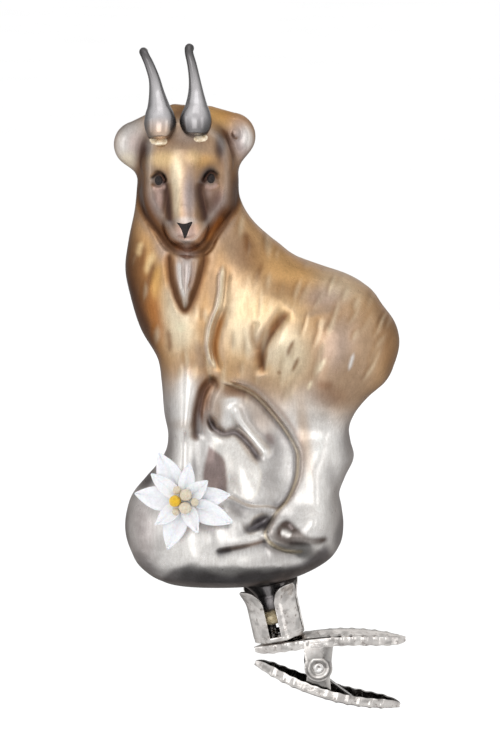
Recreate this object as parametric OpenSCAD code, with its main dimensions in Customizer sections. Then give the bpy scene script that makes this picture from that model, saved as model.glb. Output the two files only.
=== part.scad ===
// Blown-glass mountain goat on a rock, held by a sprung leaf clip.
// Millimetres, +Z up. The origin is the middle of the clip's mouth, where a twig is gripped.
// The mouth opens towards -X, and the hinge pin lies along Y.

/* [Figure] */
// Wall thickness of the blown glass
glass_wall = 1.1; // [0.8:0.1:1.4]
// Depth of the whole figure from front to back, as a factor
figure_depth = 1; // [0.9:0.05:1.1]
// Strength of the modelled relief of legs, chest and rock
relief_strength = 1; // [0.6:0.1:1.2]

/* [Flower] */
// Reach of an outer petal from the flower's centre
outer_petal_reach = 10.4; // [9:0.2:11]
// Reach of an inner petal from the flower's centre
inner_petal_reach = 7.8; // [7:0.2:8.6]
// Widest part of a petal
petal_width = 4.2; // [3:0.2:4.6]
// Thickness of the petal sheet
petal_thickness = 0.4; // [0.3:0.05:0.5]
// Radius of the yellow floret bead
floret_r = 1.25; // [1:0.05:1.3]

/* [Clip] */
// Length of each lever from tip to tip
lever_length = 32.8; // [31.6:0.2:33.2]
// Widest part of each lever
lever_width = 9; // [8.8:0.1:9.4]
// Radius of each lever's arch
arch_r = 54; // [52:1:57]
// Thickness of the sheet metal
sheet = 0.5; // [0.4:0.05:0.5]
// Depth of the turned-down edge of each lever
skirt = 1.7; // [1.5:0.1:1.9]
// Radius of the hinge pin
pin_r = 0.75; // [0.7:0.05:0.8]
// Outer radius of the sleeve that holds the glass neck
sleeve_r = 5.4; // [5.2:0.05:5.6]
// Height of the sleeve from its foot to its rim
sleeve_h = 12; // [11.6:0.2:12.2]
// Lean of the sleeve from the vertical
sleeve_tilt = 12.5; // [12:0.5:13]

/* [Hidden] */
$fn = 48;

// Levers: middle of each tip-to-tip chord, and how far it leans from the horizontal
upper_mid = [9.7, 0, 3.25];
upper_lean = 4;
lower_mid = [9.1, 0, -6.5];
lower_lean = -16.7;
pivot = [7.2, 0, -1.6];
arch_rise = arch_r - sqrt(pow(arch_r, 2) - pow(lever_length / 2, 2));
leaf_r = (pow(lever_length / 2, 2) + pow(lever_width / 2, 2)) / lever_width;
edge_rise = arch_rise - skirt + 0.4;
edge_r = (pow(lever_length / 2, 2) + pow(edge_rise, 2)) / (2 * edge_rise);

// Ears of the two levers, nested at the pin
ear_gap = 0.15;
upper_ear_y = 3.85;
lower_ear_y = upper_ear_y - ear_gap - sheet;
upper_ear_r = 3;
lower_ear_r = 2.6;
upper_ear_reach = 8;
lower_ear_reach = -9;
pin_play = 0.05;
rivet_head_r = 1.2;
rivet_head_h = 0.4;
emboss_r = 2.2;
emboss_h = 0.15;

// Sleeve, neck and their cement, measured along the sleeve's axis from its foot
sleeve_foot = [-1, 0, 4.3];
sleeve_wall = 0.4;
sleeve_flare = 1.7;
flare_h = 4;
slot_width = 3;
slot_turn = 8;
neck_end = 4.6;
neck_end_r = 3;
neck_top_r = 4.6;
cement_low = 3.2;
cement_high = 6.8;
eyelet_r = 1.3;
eyelet_bore_r = 0.9;
eyelet_flange_r = 1.8;
eyelet_flange_h = 0.25;
eyelet_grip = 0.5;

// Spring wound on the pin, with both legs pressing the handles apart
wire_r = 0.3;
coil_r = 1.45;
coil_turns = 2;
coil_pitch = 0.72;
leg_high = [10, 5];
leg_low = [15.6, -9.8];

// Flower seat on the rock
flower_at = [-21.3, -18.4, 37.1];
flower_yaw = -16;
flower_tilt = 78;
outer_angles = [10, 116, 176, 258, 341];
inner_angles = [40, 78, 136, 223, 306];
star_gap = 0.05;
yellow_at = [-1.3, 0];

// Cream beads: [place on the flower, radius]
cream_beads = [
    [[1, 1.35], 1.3], [[1, -1.35], 1.3], [[-1.1, 2.3], 0.9], [[-1.1, -2.2], 0.8], [[2.9, 0], 0.85]];

// Outline of the figure, [height, left], [height, right], [height, front], [height, back]
left_edge = [
    [16, -21.5], [16.6, -24.6], [17.8, -27.4], [20, -30.6], [24, -33], [28, -34.1], [32, -33.8],
    [35.5, -32.6], [39, -29.8], [42, -27.2], [45, -25.4], [48, -24.9], [53, -25.7],
    [60, -26.3], [64.5, -27], [71, -30.6], [78, -32.8], [84, -33.9], [90, -33.2],
    [97, -31.8], [103, -31.2], [110, -30.4], [114, -29], [117, -26.4], [118.6, -23.6]];
right_edge = [
    [16, -8], [16.6, -4], [17.8, 0.6], [20, 6.2], [22, 9.4], [25, 11.7], [29, 12.5],
    [33, 12.1], [36, 11.6], [39.5, 12.8], [44, 14.7], [47, 14], [50, 13.7], [53, 14.8],
    [57, 18], [60, 21.4], [64, 23.4], [69, 24.3], [72.5, 23.3], [76, 20.8], [80, 17.6],
    [82.7, 13], [84.2, 8.6], [86.2, 3.2], [89.5, -1.5], [94, -6.6], [99, -9.5], [104, -9.9],
    [110, -10.6], [114, -12.4], [117, -15.4], [118.6, -18.6]];
front_edge = [
    [16, -5], [16.6, -8], [18, -12.4], [21, -15.8], [26, -18.3], [31, -18.4], [36, -16.6],
    [42, -13.4], [48, -11.6], [56, -12.4], [66, -13.6], [78, -13], [88, -11.4],
    [96, -10.6], [104, -10.4], [110, -9.6], [114, -8], [117, -5.4], [118.6, -2.4]];
back_edge = [
    [16, 6], [16.6, 8], [18, 11], [21, 13.8], [26, 16], [31, 16.2], [36, 14.8], [42, 12.6],
    [48, 11.6], [56, 12.6], [64, 14.8], [72, 15.6], [80, 14], [88, 11.4], [96, 9.8],
    [104, 9.6], [110, 9], [114, 7.6], [117, 5], [118.6, 2.4]];
figure_foot = 16;
figure_top = 118.6;

// Swells and hollows: [x, height, reach in x, reach in height, lift in front, lift behind]
swells = [
    [-21.8, 55, 4.2, 15, 3.2, 2.6], [-20.6, 44, 3.6, 8, 2.6, 2], [-13.4, 50, 2.6, 12, -2.6, -1.8],
    [-24, 76, 9, 12, 1.2, 1], [-11, 74, 2.6, 13, -2, -1.8], [0, 72, 7, 9, 2, 1.8],
    [14, 67, 9, 11, 3.4, 3.4], [4, 58, 3, 8, -2.2, -2.2], [9.4, 49, 4.6, 8, 3, 2.8],
    [9.6, 40, 4.4, 8, 3.4, 3], [5, 31, 5, 5, 4, 3], [1.4, 24.5, 8, 2.8, 2.4, 1.4],
    [-6, 56, 6, 6, -2.6, -2.4], [-9, 43, 4.4, 5, 3, 1.6], [-12, 33.5, 8, 2, 1.8, 1],
    [-26, 27, 7, 8, 1.4, 1], [-10, 20, 12, 3, 1, 0.8], [-27, 103, 3, 3, -1.6, 0],
    [-14, 103, 3, 3, -1.6, 0]];

// Hull-made lobes: [start, start radius, end, end radius]; the thin last one is solid
lobes = [
    [[-28.5, 0, 111], 4.8, [-31.6, -0.5, 110.6], 4.8],      // left ear
    [[-14, 0, 112], 5.2, [-11.4, -0.5, 112.2], 5],          // right ear
    [[-20.6, -5, 104], 7.6, [-20.6, -12.2, 95.6], 5],       // muzzle
    [[-20.6, -9.6, 93], 4.4, [-20.4, -13.2, 91.6], 3.3],    // chin
    [[-20.4, -11.6, 88], 2.8, [-20.8, -13.6, 75.4], 1.1]];  // beard

// Horns: points and radii from the base to the hooked tip
left_horn_path = [
    [-26.1, -10.6, 113], [-26.1, -10.4, 113.6], [-26.2, -9.9, 114.6], [-26.2, -9.1, 116],
    [-26.4, -8.3, 117.6], [-26.6, -7.5, 119.3], [-27, -6.2, 122], [-27.5, -5.2, 124.7],
    [-28.5, -4.4, 127.5], [-29.4, -3.8, 129.4], [-29.8, -2.6, 130.2], [-29.1, -1.4, 129.6]];
right_horn_path = [
    [-18.8, -10.6, 113.5], [-18.8, -10.4, 114.1], [-18.8, -9.9, 115], [-18.8, -9.1, 116.3],
    [-18.7, -8.3, 117.8], [-18.7, -7.5, 119.4], [-18.8, -6.2, 122], [-19.1, -5.2, 124.7],
    [-19.6, -4.4, 127.5], [-20.2, -3.8, 129.9], [-20.2, -2.6, 131], [-19.5, -1.5, 130.4]];
horn_radii = [1.3, 2.4, 3.1, 3.4, 3, 2.3, 1.6, 1.2, 1, 0.9, 0.9, 0.75];

// ---- Helpers ----
function unit(v) = v / norm(v);
function signed_power(v, e) = sign(v) * pow(abs(v), e);
function mean(a, b) = (a + b) / 2;

// Least or greatest value of an outline close to one height, so that the wall is even
function inner_low(edge, z, t) = t + max([for (s = [-1:1]) lookup(z + s * t, edge)]);
function inner_high(edge, z, t) = -t + min([for (s = [-1:1]) lookup(z + s * t, edge)]);
function relief(x, z, column) = relief_strength * (
    [for (b = swells) b[column] * exp(-pow((x - b[0]) / b[2], 2) - pow((z - b[1]) / b[3], 2))]
    * [for (b = swells) 1]);

// A closed rounded ring at one height, drawn in by the wall
ring_power = 0.84;
function ring_at(z, t, points) = let (
        left = inner_low(left_edge, z, t), right = inner_high(right_edge, z, t),
        front = inner_low(front_edge, z, t) * figure_depth,
        back = inner_high(back_edge, z, t) * figure_depth)
    [for (i = [0:points - 1])
        let (a = 360 * i / points,
             x = mean(left, right) + (right - left) / 2 * signed_power(cos(a), ring_power),
             y = mean(front, back) + (back - front) / 2 * signed_power(sin(a), ring_power),
             lift = sin(a) * sin(a) * relief(x, z, sin(a) < 0 ? 4 : 5))
            [x, y + sign(sin(a)) * lift, z]];

// Heights of the rings, closer together towards both ends
function ring_heights(t, count) = [for (i = [0:count])
    let (u = i / count)
        figure_foot + t + (figure_top - figure_foot - 2 * t) * (u - sin(360 * u) / 9.5)];

// Triangles between stacked rings of n points, with both ends capped
function stack_faces(rows, n) = concat(
    [for (j = [0:rows - 2], i = [0:n - 1]) let (k = (i + 1) % n, a = j * n, b = a + n)
        each [[a + i, b + i, b + k], [a + i, b + k, a + k]]],
    [for (i = [1:n - 2]) [0, i, i + 1]],
    [for (i = [1:n - 2]) let (t = (rows - 1) * n) [t, t + i + 1, t + i]]);

module stacked(rows) {
    polyhedron(points = [for (row = rows) each row],
               faces = stack_faces(len(rows), len(rows[0])), convexity = 8);
}

// A tube of varying radius along a path; side must never be parallel to the path
function along(path, i) = unit(path[min(i + 1, len(path) - 1)] - path[max(i - 1, 0)]);
module swept(path, radii, side, sides) {
    stacked([for (i = [0:len(path) - 1])
        let (t = along(path, i), n = unit(cross(side, t)), b = cross(t, n))
            [for (s = [0:sides - 1])
                path[i] + radii[i] * (cos(360 * s / sides) * n + sin(360 * s / sides) * b)]]);
}

module on_sleeve_axis() {
    translate(sleeve_foot) rotate([0, -sleeve_tilt, 0]) children();
}

// ---- Glass figure ----
module neck(inset) {
    on_sleeve_axis() {
        translate([0, 0, neck_end - (inset > 0 ? 0.5 : 0)])
            cylinder(h = sleeve_h - neck_end + 0.5, r1 = neck_end_r - inset,
                     r2 = neck_top_r - inset, $fn = 20);
        translate([0, 0, sleeve_h - 0.01])
            cylinder(h = 6, r1 = neck_top_r - inset, r2 = 8.5 - inset, $fn = 20);
    }
}

module figure_solid(inset, points, count) {
    stacked([for (z = ring_heights(inset, count)) ring_at(z, inset, points)]);
    for (lobe = lobes) if (inset == 0 || lobe[3] > 2) hull() {
        translate(lobe[0]) sphere(r = max(lobe[1] - inset, 0.2), $fn = 20);
        translate(lobe[2]) sphere(r = max(lobe[3] - inset, 0.2), $fn = 20);
    }
    neck(inset);
}

module glass_figure() {
    color("burlywood") union() difference() {
        figure_solid(0, 44, 50);
        figure_solid(glass_wall, 28, 30);
    }
}

module horn(path) {
    color("dimgray") swept(path, horn_radii, [1, 0, 0], 14);
}
module left_horn() { horn(left_horn_path); }
module right_horn() { horn(right_horn_path); }

module horn_glue(at) {
    color("whitesmoke") translate(at) rotate([48, 0, 0]) cylinder(h = 0.9, r1 = 3, r2 = 2.2);
}
module left_horn_glue() { horn_glue([-26.1, -8, 112.4]); }
module right_horn_glue() { horn_glue([-18.8, -8.8, 112.8]); }

// ---- Flower ----
module on_flower() {
    translate(flower_at) rotate([flower_tilt, 0, flower_yaw]) children();
}

module petal(reach) {
    side_r = (pow(reach / 2, 2) + pow(petal_width / 2, 2)) / petal_width;
    translate([reach / 2, 0, 0]) intersection() {
        translate([0, side_r - petal_width / 2, 0]) cylinder(h = petal_thickness, r = side_r);
        translate([0, petal_width / 2 - side_r, 0]) cylinder(h = petal_thickness, r = side_r);
    }
}

module petal_star(angles, reach) {
    color("white") union() {
        cylinder(h = petal_thickness, r = 2.6);
        for (a = angles) rotate(a) petal(reach);
    }
}
module outer_petals() { on_flower() petal_star(outer_angles, outer_petal_reach); }
module inner_petals() {
    on_flower() translate([0, 0, petal_thickness + star_gap])
        petal_star(inner_angles, inner_petal_reach);
}
module flower_glue() {
    color("ivory") on_flower() translate([0, 0, -2.6]) cylinder(h = 2.6 - star_gap, r1 = 3.2, r2 = 2.4);
}

module floret(at, r) {
    on_flower() translate([at.x, at.y, 2 * petal_thickness + 2 * star_gap + r]) sphere(r = r);
}
module centre_floret() { color("gold") floret(yellow_at, floret_r); }
module cream_floret(i) {
    color("antiquewhite") floret(cream_beads[i - 1][0], cream_beads[i - 1][1]);
}

// ---- Clip ----
module neck_cement() {
    color("khaki") on_sleeve_axis() rotate_extrude() polygon([
        [0, cement_low], [sleeve_r - sleeve_wall - 1.6, cement_low],
        [sleeve_r - sleeve_wall, cement_low + 2],
        [sleeve_r - sleeve_wall, cement_high],
        [neck_radius(cement_high), cement_high],
        [neck_end_r, neck_end], [0, neck_end]]);
}
function neck_radius(h) = neck_end_r
    + (neck_top_r - neck_end_r) * (h - neck_end) / (sleeve_h - neck_end + 0.5);

module clip_sleeve() {
    inner = sleeve_r - sleeve_wall;
    color("silver") on_sleeve_axis() difference() {
        rotate_extrude() polygon([
            [0, 0], [sleeve_r, 0], [sleeve_r, sleeve_h - flare_h],
            [sleeve_r + sleeve_flare, sleeve_h], [inner + sleeve_flare, sleeve_h],
            [inner, sleeve_h - flare_h], [inner, sleeve_wall], [0, sleeve_wall]]);
        translate([0, 0, -1]) cylinder(h = 3, r = eyelet_r);
        for (a = [0:90:270]) rotate(a - slot_turn)
            translate([0, -slot_width / 2, 1.2]) cube([10, slot_width, sleeve_h]);
    }
}

module sleeve_eyelet() {
    under = -sheet - eyelet_grip - eyelet_flange_h;
    color("lightgray") on_sleeve_axis() rotate_extrude() polygon([
        [eyelet_bore_r, under], [eyelet_flange_r, under],
        [eyelet_flange_r, under + eyelet_flange_h], [eyelet_r, under + eyelet_flange_h],
        [eyelet_r, sleeve_wall], [eyelet_flange_r, sleeve_wall],
        [eyelet_flange_r, sleeve_wall + eyelet_flange_h],
        [eyelet_bore_r, sleeve_wall + eyelet_flange_h]]);
}

// A pointed leaf under an arch, drawn in by inset, with its chord on the X axis
module leaf_under(r, top, inset) {
    intersection() {
        translate([0, 0, top - r]) rotate([90, 0, 0])
            cylinder(h = lever_width + 2, r = r, center = true);
        translate([0, leaf_r - lever_width / 2, -10]) cylinder(h = 20, r = leaf_r - inset);
        translate([0, lever_width / 2 - leaf_r, -10]) cylinder(h = 20, r = leaf_r - inset);
    }
}

// Everything under the middle of a lever's sheet, which trims the ears to the arch
module under_arch() {
    translate([0, 0, arch_rise - arch_r]) rotate([90, 0, 0])
        cylinder(h = lever_width + 2, r = arch_r - sheet / 2, center = true);
}

// The leaf hollowed from below, with a turned-down edge that dies out at both points
module leaf_channel() {
    difference() {
        leaf_under(arch_r, arch_rise, 0);
        leaf_under(arch_r - sheet, arch_rise - sheet, sheet);
        translate([0, 0, edge_rise - 0.4 - edge_r]) rotate([90, 0, 0])
            cylinder(h = lever_width + 2, r = edge_r, center = true);
    }
}

// A pair of ears in the XZ plane, from a lever's sheet at reach to round ends at the pin
module ear_pair(inner_y, r, reach) {
    for (s = [-1, 1]) translate([pivot.x, s * (inner_y + sheet / 2), pivot.z])
        rotate([90, 0, 0]) translate([0, 0, -sheet / 2]) {
            cylinder(h = sheet, r = r);
            translate([-r, min(reach, 0), 0]) cube([2 * r, abs(reach), sheet]);
        }
}

module upper_lever() {
    color("silver") difference() {
        union() {
            translate(upper_mid) rotate([0, -upper_lean, 0]) leaf_channel();
            intersection() {
                ear_pair(upper_ear_y, upper_ear_r, upper_ear_reach);
                translate(upper_mid) rotate([0, -upper_lean, 0]) under_arch();
            }
            for (s = [-1, 1]) translate([pivot.x, s * (upper_ear_y + sheet), pivot.z])
                rotate([90, 0, 0]) difference() {
                    cylinder(h = 2 * emboss_h, r = emboss_r, center = true);
                    cylinder(h = 1, r = emboss_r - 0.4, center = true);
                }
        }
        translate(pivot) rotate([90, 0, 0]) cylinder(h = 12, r = pin_r, center = true);
        on_sleeve_axis() translate([0, 0, -2]) cylinder(h = 3, r = eyelet_r);
    }
}

module lower_lever() {
    color("silver") difference() {
        union() {
            translate(lower_mid) rotate([0, -lower_lean, 0]) mirror([0, 0, 1]) leaf_channel();
            intersection() {
                ear_pair(lower_ear_y, lower_ear_r, lower_ear_reach);
                translate(lower_mid) rotate([0, -lower_lean, 0]) mirror([0, 0, 1]) under_arch();
            }
        }
        translate(pivot) rotate([90, 0, 0]) cylinder(h = 12, r = pin_r + pin_play, center = true);
    }
}

module pivot_rivet() {
    outer = upper_ear_y + sheet;
    color("gainsboro") translate(pivot) rotate([90, 0, 0]) {
        cylinder(h = 2 * outer, r = pin_r, center = true);
        for (s = [-1, 1]) translate([0, 0, s * (outer + rivet_head_h / 2)])
            cylinder(h = rivet_head_h, r = rivet_head_r, center = true);
    }
}

// Angle at which a straight leg from a point in the XZ plane meets the coil
function leg_angle(p, side) = let (v = p - [pivot.x, pivot.z])
    atan2(v.y, v.x) + side * acos(coil_r / norm(v));

module torsion_spring() {
    first = leg_angle(leg_high, 1);
    last = leg_angle(leg_low, -1) + 360 * (coil_turns + 1);
    steps = 42;
    width = coil_pitch * (last - first) / 360;
    coil = [for (i = [0:steps]) let (a = first + (last - first) * i / steps)
        [pivot.x + coil_r * cos(a), width * (i / steps - 0.5), pivot.z + coil_r * sin(a)]];
    path = concat([[leg_high.x, -width / 2, leg_high.y]], coil,
                  [[leg_low.x, width / 2, leg_low.y]]);
    color("gray") swept(path, [for (p = path) wire_r], [0, 1, 0], 8);
}

glass_figure();
left_horn();
right_horn();
left_horn_glue();
right_horn_glue();
flower_glue();
outer_petals();
inner_petals();
centre_floret();
for (i = [1:5]) cream_floret(i);
neck_cement();
clip_sleeve();
sleeve_eyelet();
upper_lever();
pivot_rivet();
torsion_spring();
lower_lever();
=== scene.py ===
"""Blown-glass mountain goat on a rock, carried by a sprung leaf clip.

The shapes are worked out in millimetres in the row frame (+Z up, the face looks to -Y) and
made in metres. The hand-painted look, with painted shade and painted highlights in it, is stored in
colour attributes that the materials read.
"""
import math

import bpy
import numpy as np
from mathutils import Euler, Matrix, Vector


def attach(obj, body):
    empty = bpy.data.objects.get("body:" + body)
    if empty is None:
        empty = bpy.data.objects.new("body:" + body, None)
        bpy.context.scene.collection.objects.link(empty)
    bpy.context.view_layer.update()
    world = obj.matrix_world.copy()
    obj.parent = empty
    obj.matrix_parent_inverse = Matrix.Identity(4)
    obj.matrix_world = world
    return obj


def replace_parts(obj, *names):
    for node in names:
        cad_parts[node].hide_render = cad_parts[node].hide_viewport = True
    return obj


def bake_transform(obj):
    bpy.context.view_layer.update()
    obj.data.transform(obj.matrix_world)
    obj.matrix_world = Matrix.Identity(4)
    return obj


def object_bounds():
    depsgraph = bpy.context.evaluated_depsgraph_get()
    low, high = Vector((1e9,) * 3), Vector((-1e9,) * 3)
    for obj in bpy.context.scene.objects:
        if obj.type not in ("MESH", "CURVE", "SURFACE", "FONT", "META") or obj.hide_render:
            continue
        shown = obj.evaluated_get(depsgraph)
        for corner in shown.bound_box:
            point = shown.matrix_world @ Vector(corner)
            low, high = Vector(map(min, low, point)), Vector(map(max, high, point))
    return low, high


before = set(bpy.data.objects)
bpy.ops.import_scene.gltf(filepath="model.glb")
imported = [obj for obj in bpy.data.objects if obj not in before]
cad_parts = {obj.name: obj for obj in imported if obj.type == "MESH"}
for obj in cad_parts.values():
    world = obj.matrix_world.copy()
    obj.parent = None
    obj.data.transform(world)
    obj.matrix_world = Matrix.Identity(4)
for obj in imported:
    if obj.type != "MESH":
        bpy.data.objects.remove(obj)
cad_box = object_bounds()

MM = 0.001


def smooth_step(a, b, x):
    t = np.clip((x - a) / (b - a), 0, 1)
    return t * t * (3 - 2 * t)


def mesh_object(name, points_mm, faces, smooth=True):
    mesh = bpy.data.meshes.new(name)
    mesh.from_pydata([tuple(p) for p in np.asarray(points_mm) * MM], [], [tuple(f) for f in faces])
    mesh.validate()
    mesh.shade_smooth() if smooth else mesh.shade_flat()
    piece = bpy.data.objects.new(name, mesh)
    bpy.context.collection.objects.link(piece)
    return piece


def apply_modifiers(piece):
    graph = bpy.context.evaluated_depsgraph_get()
    done = bpy.data.meshes.new_from_object(piece.evaluated_get(graph))
    piece.modifiers.clear()
    old = piece.data
    piece.data = done
    bpy.data.meshes.remove(old)


def thickened(piece, thickness_mm, edge_mm=0.0, corner=50):
    """Gives an open sheet its thickness, and eases edges sharper than corner degrees."""
    thick = piece.modifiers.new("thick", "SOLIDIFY")
    thick.thickness, thick.offset = thickness_mm * MM, 0
    if edge_mm:
        edge = piece.modifiers.new("edge", "BEVEL")
        edge.width, edge.segments = edge_mm * MM, 2
        edge.limit_method, edge.angle_limit = "ANGLE", math.radians(corner)
    apply_modifiers(piece)
    return piece


def subdivided(piece, levels):
    """Smooths a piece and gives its new points."""
    piece.modifiers.new("finer", "SUBSURF").levels = levels
    apply_modifiers(piece)
    return vertices_of(piece)


def vertices_of(piece):
    """The mesh's points, in millimetres."""
    co = np.empty(len(piece.data.vertices) * 3)
    piece.data.vertices.foreach_get("co", co)
    return co.reshape(-1, 3) / MM


def set_vertices(piece, points_mm):
    piece.data.vertices.foreach_set("co", (points_mm * MM).ravel())
    piece.data.update()


def paint(piece, colours):
    """Stores one linear colour per point, which the material reads."""
    layer = piece.data.color_attributes.new("paint", "FLOAT_COLOR", "POINT")
    rgba = np.concatenate([np.clip(colours, 0, 1), np.ones((len(colours), 1))], axis=1)
    layer.data.foreach_set("color", rgba.astype(np.float32).ravel())


def hash_noise(p, seed):
    """Repeatable value noise between -1 and 1 at points p, one unit per cell."""
    base = np.floor(p).astype(np.int64)
    f = p - base
    f = f * f * (3 - 2 * f)
    total = np.zeros(len(p))
    for corner in np.ndindex(2, 2, 2):
        q = base + np.array(corner)
        h = (q[:, 0] * 374761393 + q[:, 1] * 668265263 + q[:, 2] * 2147483647
             + seed * 1274126177) & 0x7FFFFFFF
        h = (h ^ (h >> 13)) * 1274126177 & 0x7FFFFFFF
        h = (h ^ (h >> 16)) & 0xFFFF
        weight = np.prod([f[:, i] if corner[i] else 1 - f[:, i] for i in range(3)], axis=0)
        total += weight * (h / 32767.5 - 1)
    return total


def dice(i, j, seed):
    """One repeatable number from 0 to 1 for a pair of counters."""
    h = (i * 73856093 ^ j * 19349663 ^ seed * 83492791) & 0x7FFFFFFF
    h = (h ^ (h >> 13)) * 1274126177 & 0x7FFFFFFF
    return ((h ^ (h >> 16)) & 0xFFFF) / 65535


def curve_through(points, count=40):
    """More points on a smooth curve through the given ones."""
    pts = np.array(points, float)
    x = np.linspace(0, len(pts) - 1, count)
    i = np.clip(x.astype(int), 0, len(pts) - 2)
    s = (x - i)[:, None]
    m = np.gradient(pts, axis=0)
    return ((2 * s**3 - 3 * s**2 + 1) * pts[i] + (s**3 - 2 * s**2 + s) * m[i]
            + (3 * s**2 - 2 * s**3) * pts[i + 1] + (s**3 - s**2) * m[i + 1])


# ---------------------------------------------------------------- the glass figure's form
# Outline tables, [height, place], shared with the CAD solid's own outline.
LEFT = np.array([
    [16, -21.5], [16.6, -24.6], [17.8, -27.4], [20, -30.6], [24, -33], [28, -34.1], [32, -33.8],
    [35.5, -32.6], [39, -29.8], [42, -27.2], [45, -25.4], [48, -24.9], [53, -25.7],
    [60, -26.3], [64.5, -27], [71, -30.6], [78, -32.8], [84, -33.9], [90, -33.2],
    [97, -31.8], [103, -31.2], [110, -30.4], [114, -29], [117, -26.4], [118.6, -23.6]])
RIGHT = np.array([
    [16, -8], [16.6, -4], [17.8, 0.6], [20, 6.2], [22, 9.4], [25, 11.7], [29, 12.5],
    [33, 12.1], [36, 11.6], [39.5, 12.8], [44, 14.7], [47, 14], [50, 13.7], [53, 14.8],
    [57, 18], [60, 21.4], [64, 23.4], [69, 24.3], [72.5, 23.3], [76, 20.8], [80, 17.6],
    [82.7, 13], [84.2, 8.6], [86.2, 3.2], [89.5, -1.5], [94, -6.6], [99, -9.5], [104, -9.9],
    [110, -10.6], [114, -12.4], [117, -15.4], [118.6, -18.6]])
FRONT = np.array([
    [16, -5], [16.6, -8], [18, -12.4], [21, -15.8], [26, -18.3], [31, -18.4], [36, -16.6],
    [42, -13.4], [48, -11.6], [56, -12.4], [66, -13.6], [78, -13], [88, -11.4],
    [96, -10.6], [104, -10.4], [110, -9.6], [114, -8], [117, -5.4], [118.6, -2.4]])
BACK = np.array([
    [16, 6], [16.6, 8], [18, 11], [21, 13.8], [26, 16], [31, 16.2], [36, 14.8], [42, 12.6],
    [48, 11.6], [56, 12.6], [64, 14.8], [72, 15.6], [80, 14], [88, 11.4], [96, 9.8],
    [104, 9.6], [110, 9], [114, 7.6], [117, 5], [118.6, 2.4]])
FIGURE_FOOT, FIGURE_TOP = 16, 118.6
RING_POWER = 2.38

# The sleeve's foot and lean, and the glass neck that goes down into it
SLEEVE_FOOT = np.array([-1, 0, 4.3])
SLEEVE_LEAN = math.radians(12.5)
SLEEVE_AXIS = np.array([-math.sin(SLEEVE_LEAN), 0, math.cos(SLEEVE_LEAN)])

# Modelled detail is laid out as seen from the front, a little from above: u runs to the right
# and v runs up the picture plane.
VIEW_TILT = math.radians(8.5)


def front_uv(p):
    return p[:, 0], p[:, 2] * math.cos(VIEW_TILT) + p[:, 1] * math.sin(VIEW_TILT)


def at(u, v, y):
    """The point at depth y that is seen at u, v."""
    return np.array([u, y, (v - y * math.sin(VIEW_TILT)) / math.cos(VIEW_TILT)])


def eased(table, z):
    """Outline value at height z, through the table's points on a smooth curve."""
    t, v = table[:, 0], table[:, 1]
    slope = np.gradient(v, t)
    i = np.clip(np.searchsorted(t, z) - 1, 0, len(t) - 2)
    h = t[i + 1] - t[i]
    s = np.clip((z - t[i]) / h, 0, 1)
    return ((2 * s**3 - 3 * s**2 + 1) * v[i] + (s**3 - 2 * s**2 + s) * h * slope[i]
            + (3 * s**2 - 2 * s**3) * v[i + 1] + (s**3 - s**2) * h * slope[i + 1])


def round_cone(p, a, ra, b, rb):
    """Distance to a cone with round ends between two spheres."""
    a, b = np.array(a, float), np.array(b, float)
    axis = b - a
    length2 = axis @ axis
    t = ((p - a) @ axis) / length2
    rr = ra - rb
    lean = rr / math.sqrt(max(length2 - rr * rr, 1e-9))
    across = np.linalg.norm((p - a) - t[:, None] * axis, axis=1)
    t = np.clip(t + lean * across / math.sqrt(length2), 0, 1)
    return np.linalg.norm(p - a - t[:, None] * axis, axis=1) - (ra - rr * t)


def ellipsoid(p, centre, radii, turn=(0, 0, 0)):
    m = np.array(Euler([math.radians(v) for v in turn]).to_matrix())
    q = (p - np.array(centre)) @ m
    r = np.array(radii, float)
    k0 = np.linalg.norm(q / r, axis=1)
    k1 = np.linalg.norm(q / (r * r), axis=1)
    return k0 * (k0 - 1) / np.maximum(k1, 1e-9)


def blend_in(a, b, k):
    """Union of two fields with a fillet about k wide."""
    h = np.clip(0.5 + 0.5 * (b - a) / k, 0, 1)
    return b * (1 - h) + a * h - k * h * (1 - h)


def carve(a, b, k):
    """Field a with b cut out of it, the edge eased over k."""
    return -blend_in(-a, b, k)


def line_distance(u, v, curve):
    """Distance to a polyline, which side of it a point is on, and how far along it is (0 to 1)."""
    seg = curve[1:] - curve[:-1]
    length = np.linalg.norm(seg, axis=1)
    total = length.sum()
    best = np.full(u.shape, 1e9)
    side = np.zeros(u.shape)
    along = np.zeros(u.shape)
    run = 0.0
    for a, s, l in zip(curve[:-1], seg, length):
        t = np.clip(((u - a[0]) * s[0] + (v - a[1]) * s[1]) / (l * l), 0, 1)
        du, dv = u - a[0] - t * s[0], v - a[1] - t * s[1]
        d = np.hypot(du, dv)
        near = d < best
        best = np.where(near, d, best)
        side = np.where(near, np.sign(s[0] * dv - s[1] * du), side)
        along = np.where(near, (run + t * l) / total, along)
        run += l
    return best, side, along


def taper(along, ends):
    return smooth_step(0, ends, along) * smooth_step(0, ends, 1 - along)


def toward(colour, name, weight):
    """Colours moved towards one of the palette by a weight at each place."""
    return colour + (np.array(PALETTE[name]) - colour) * weight[..., None]


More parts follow.
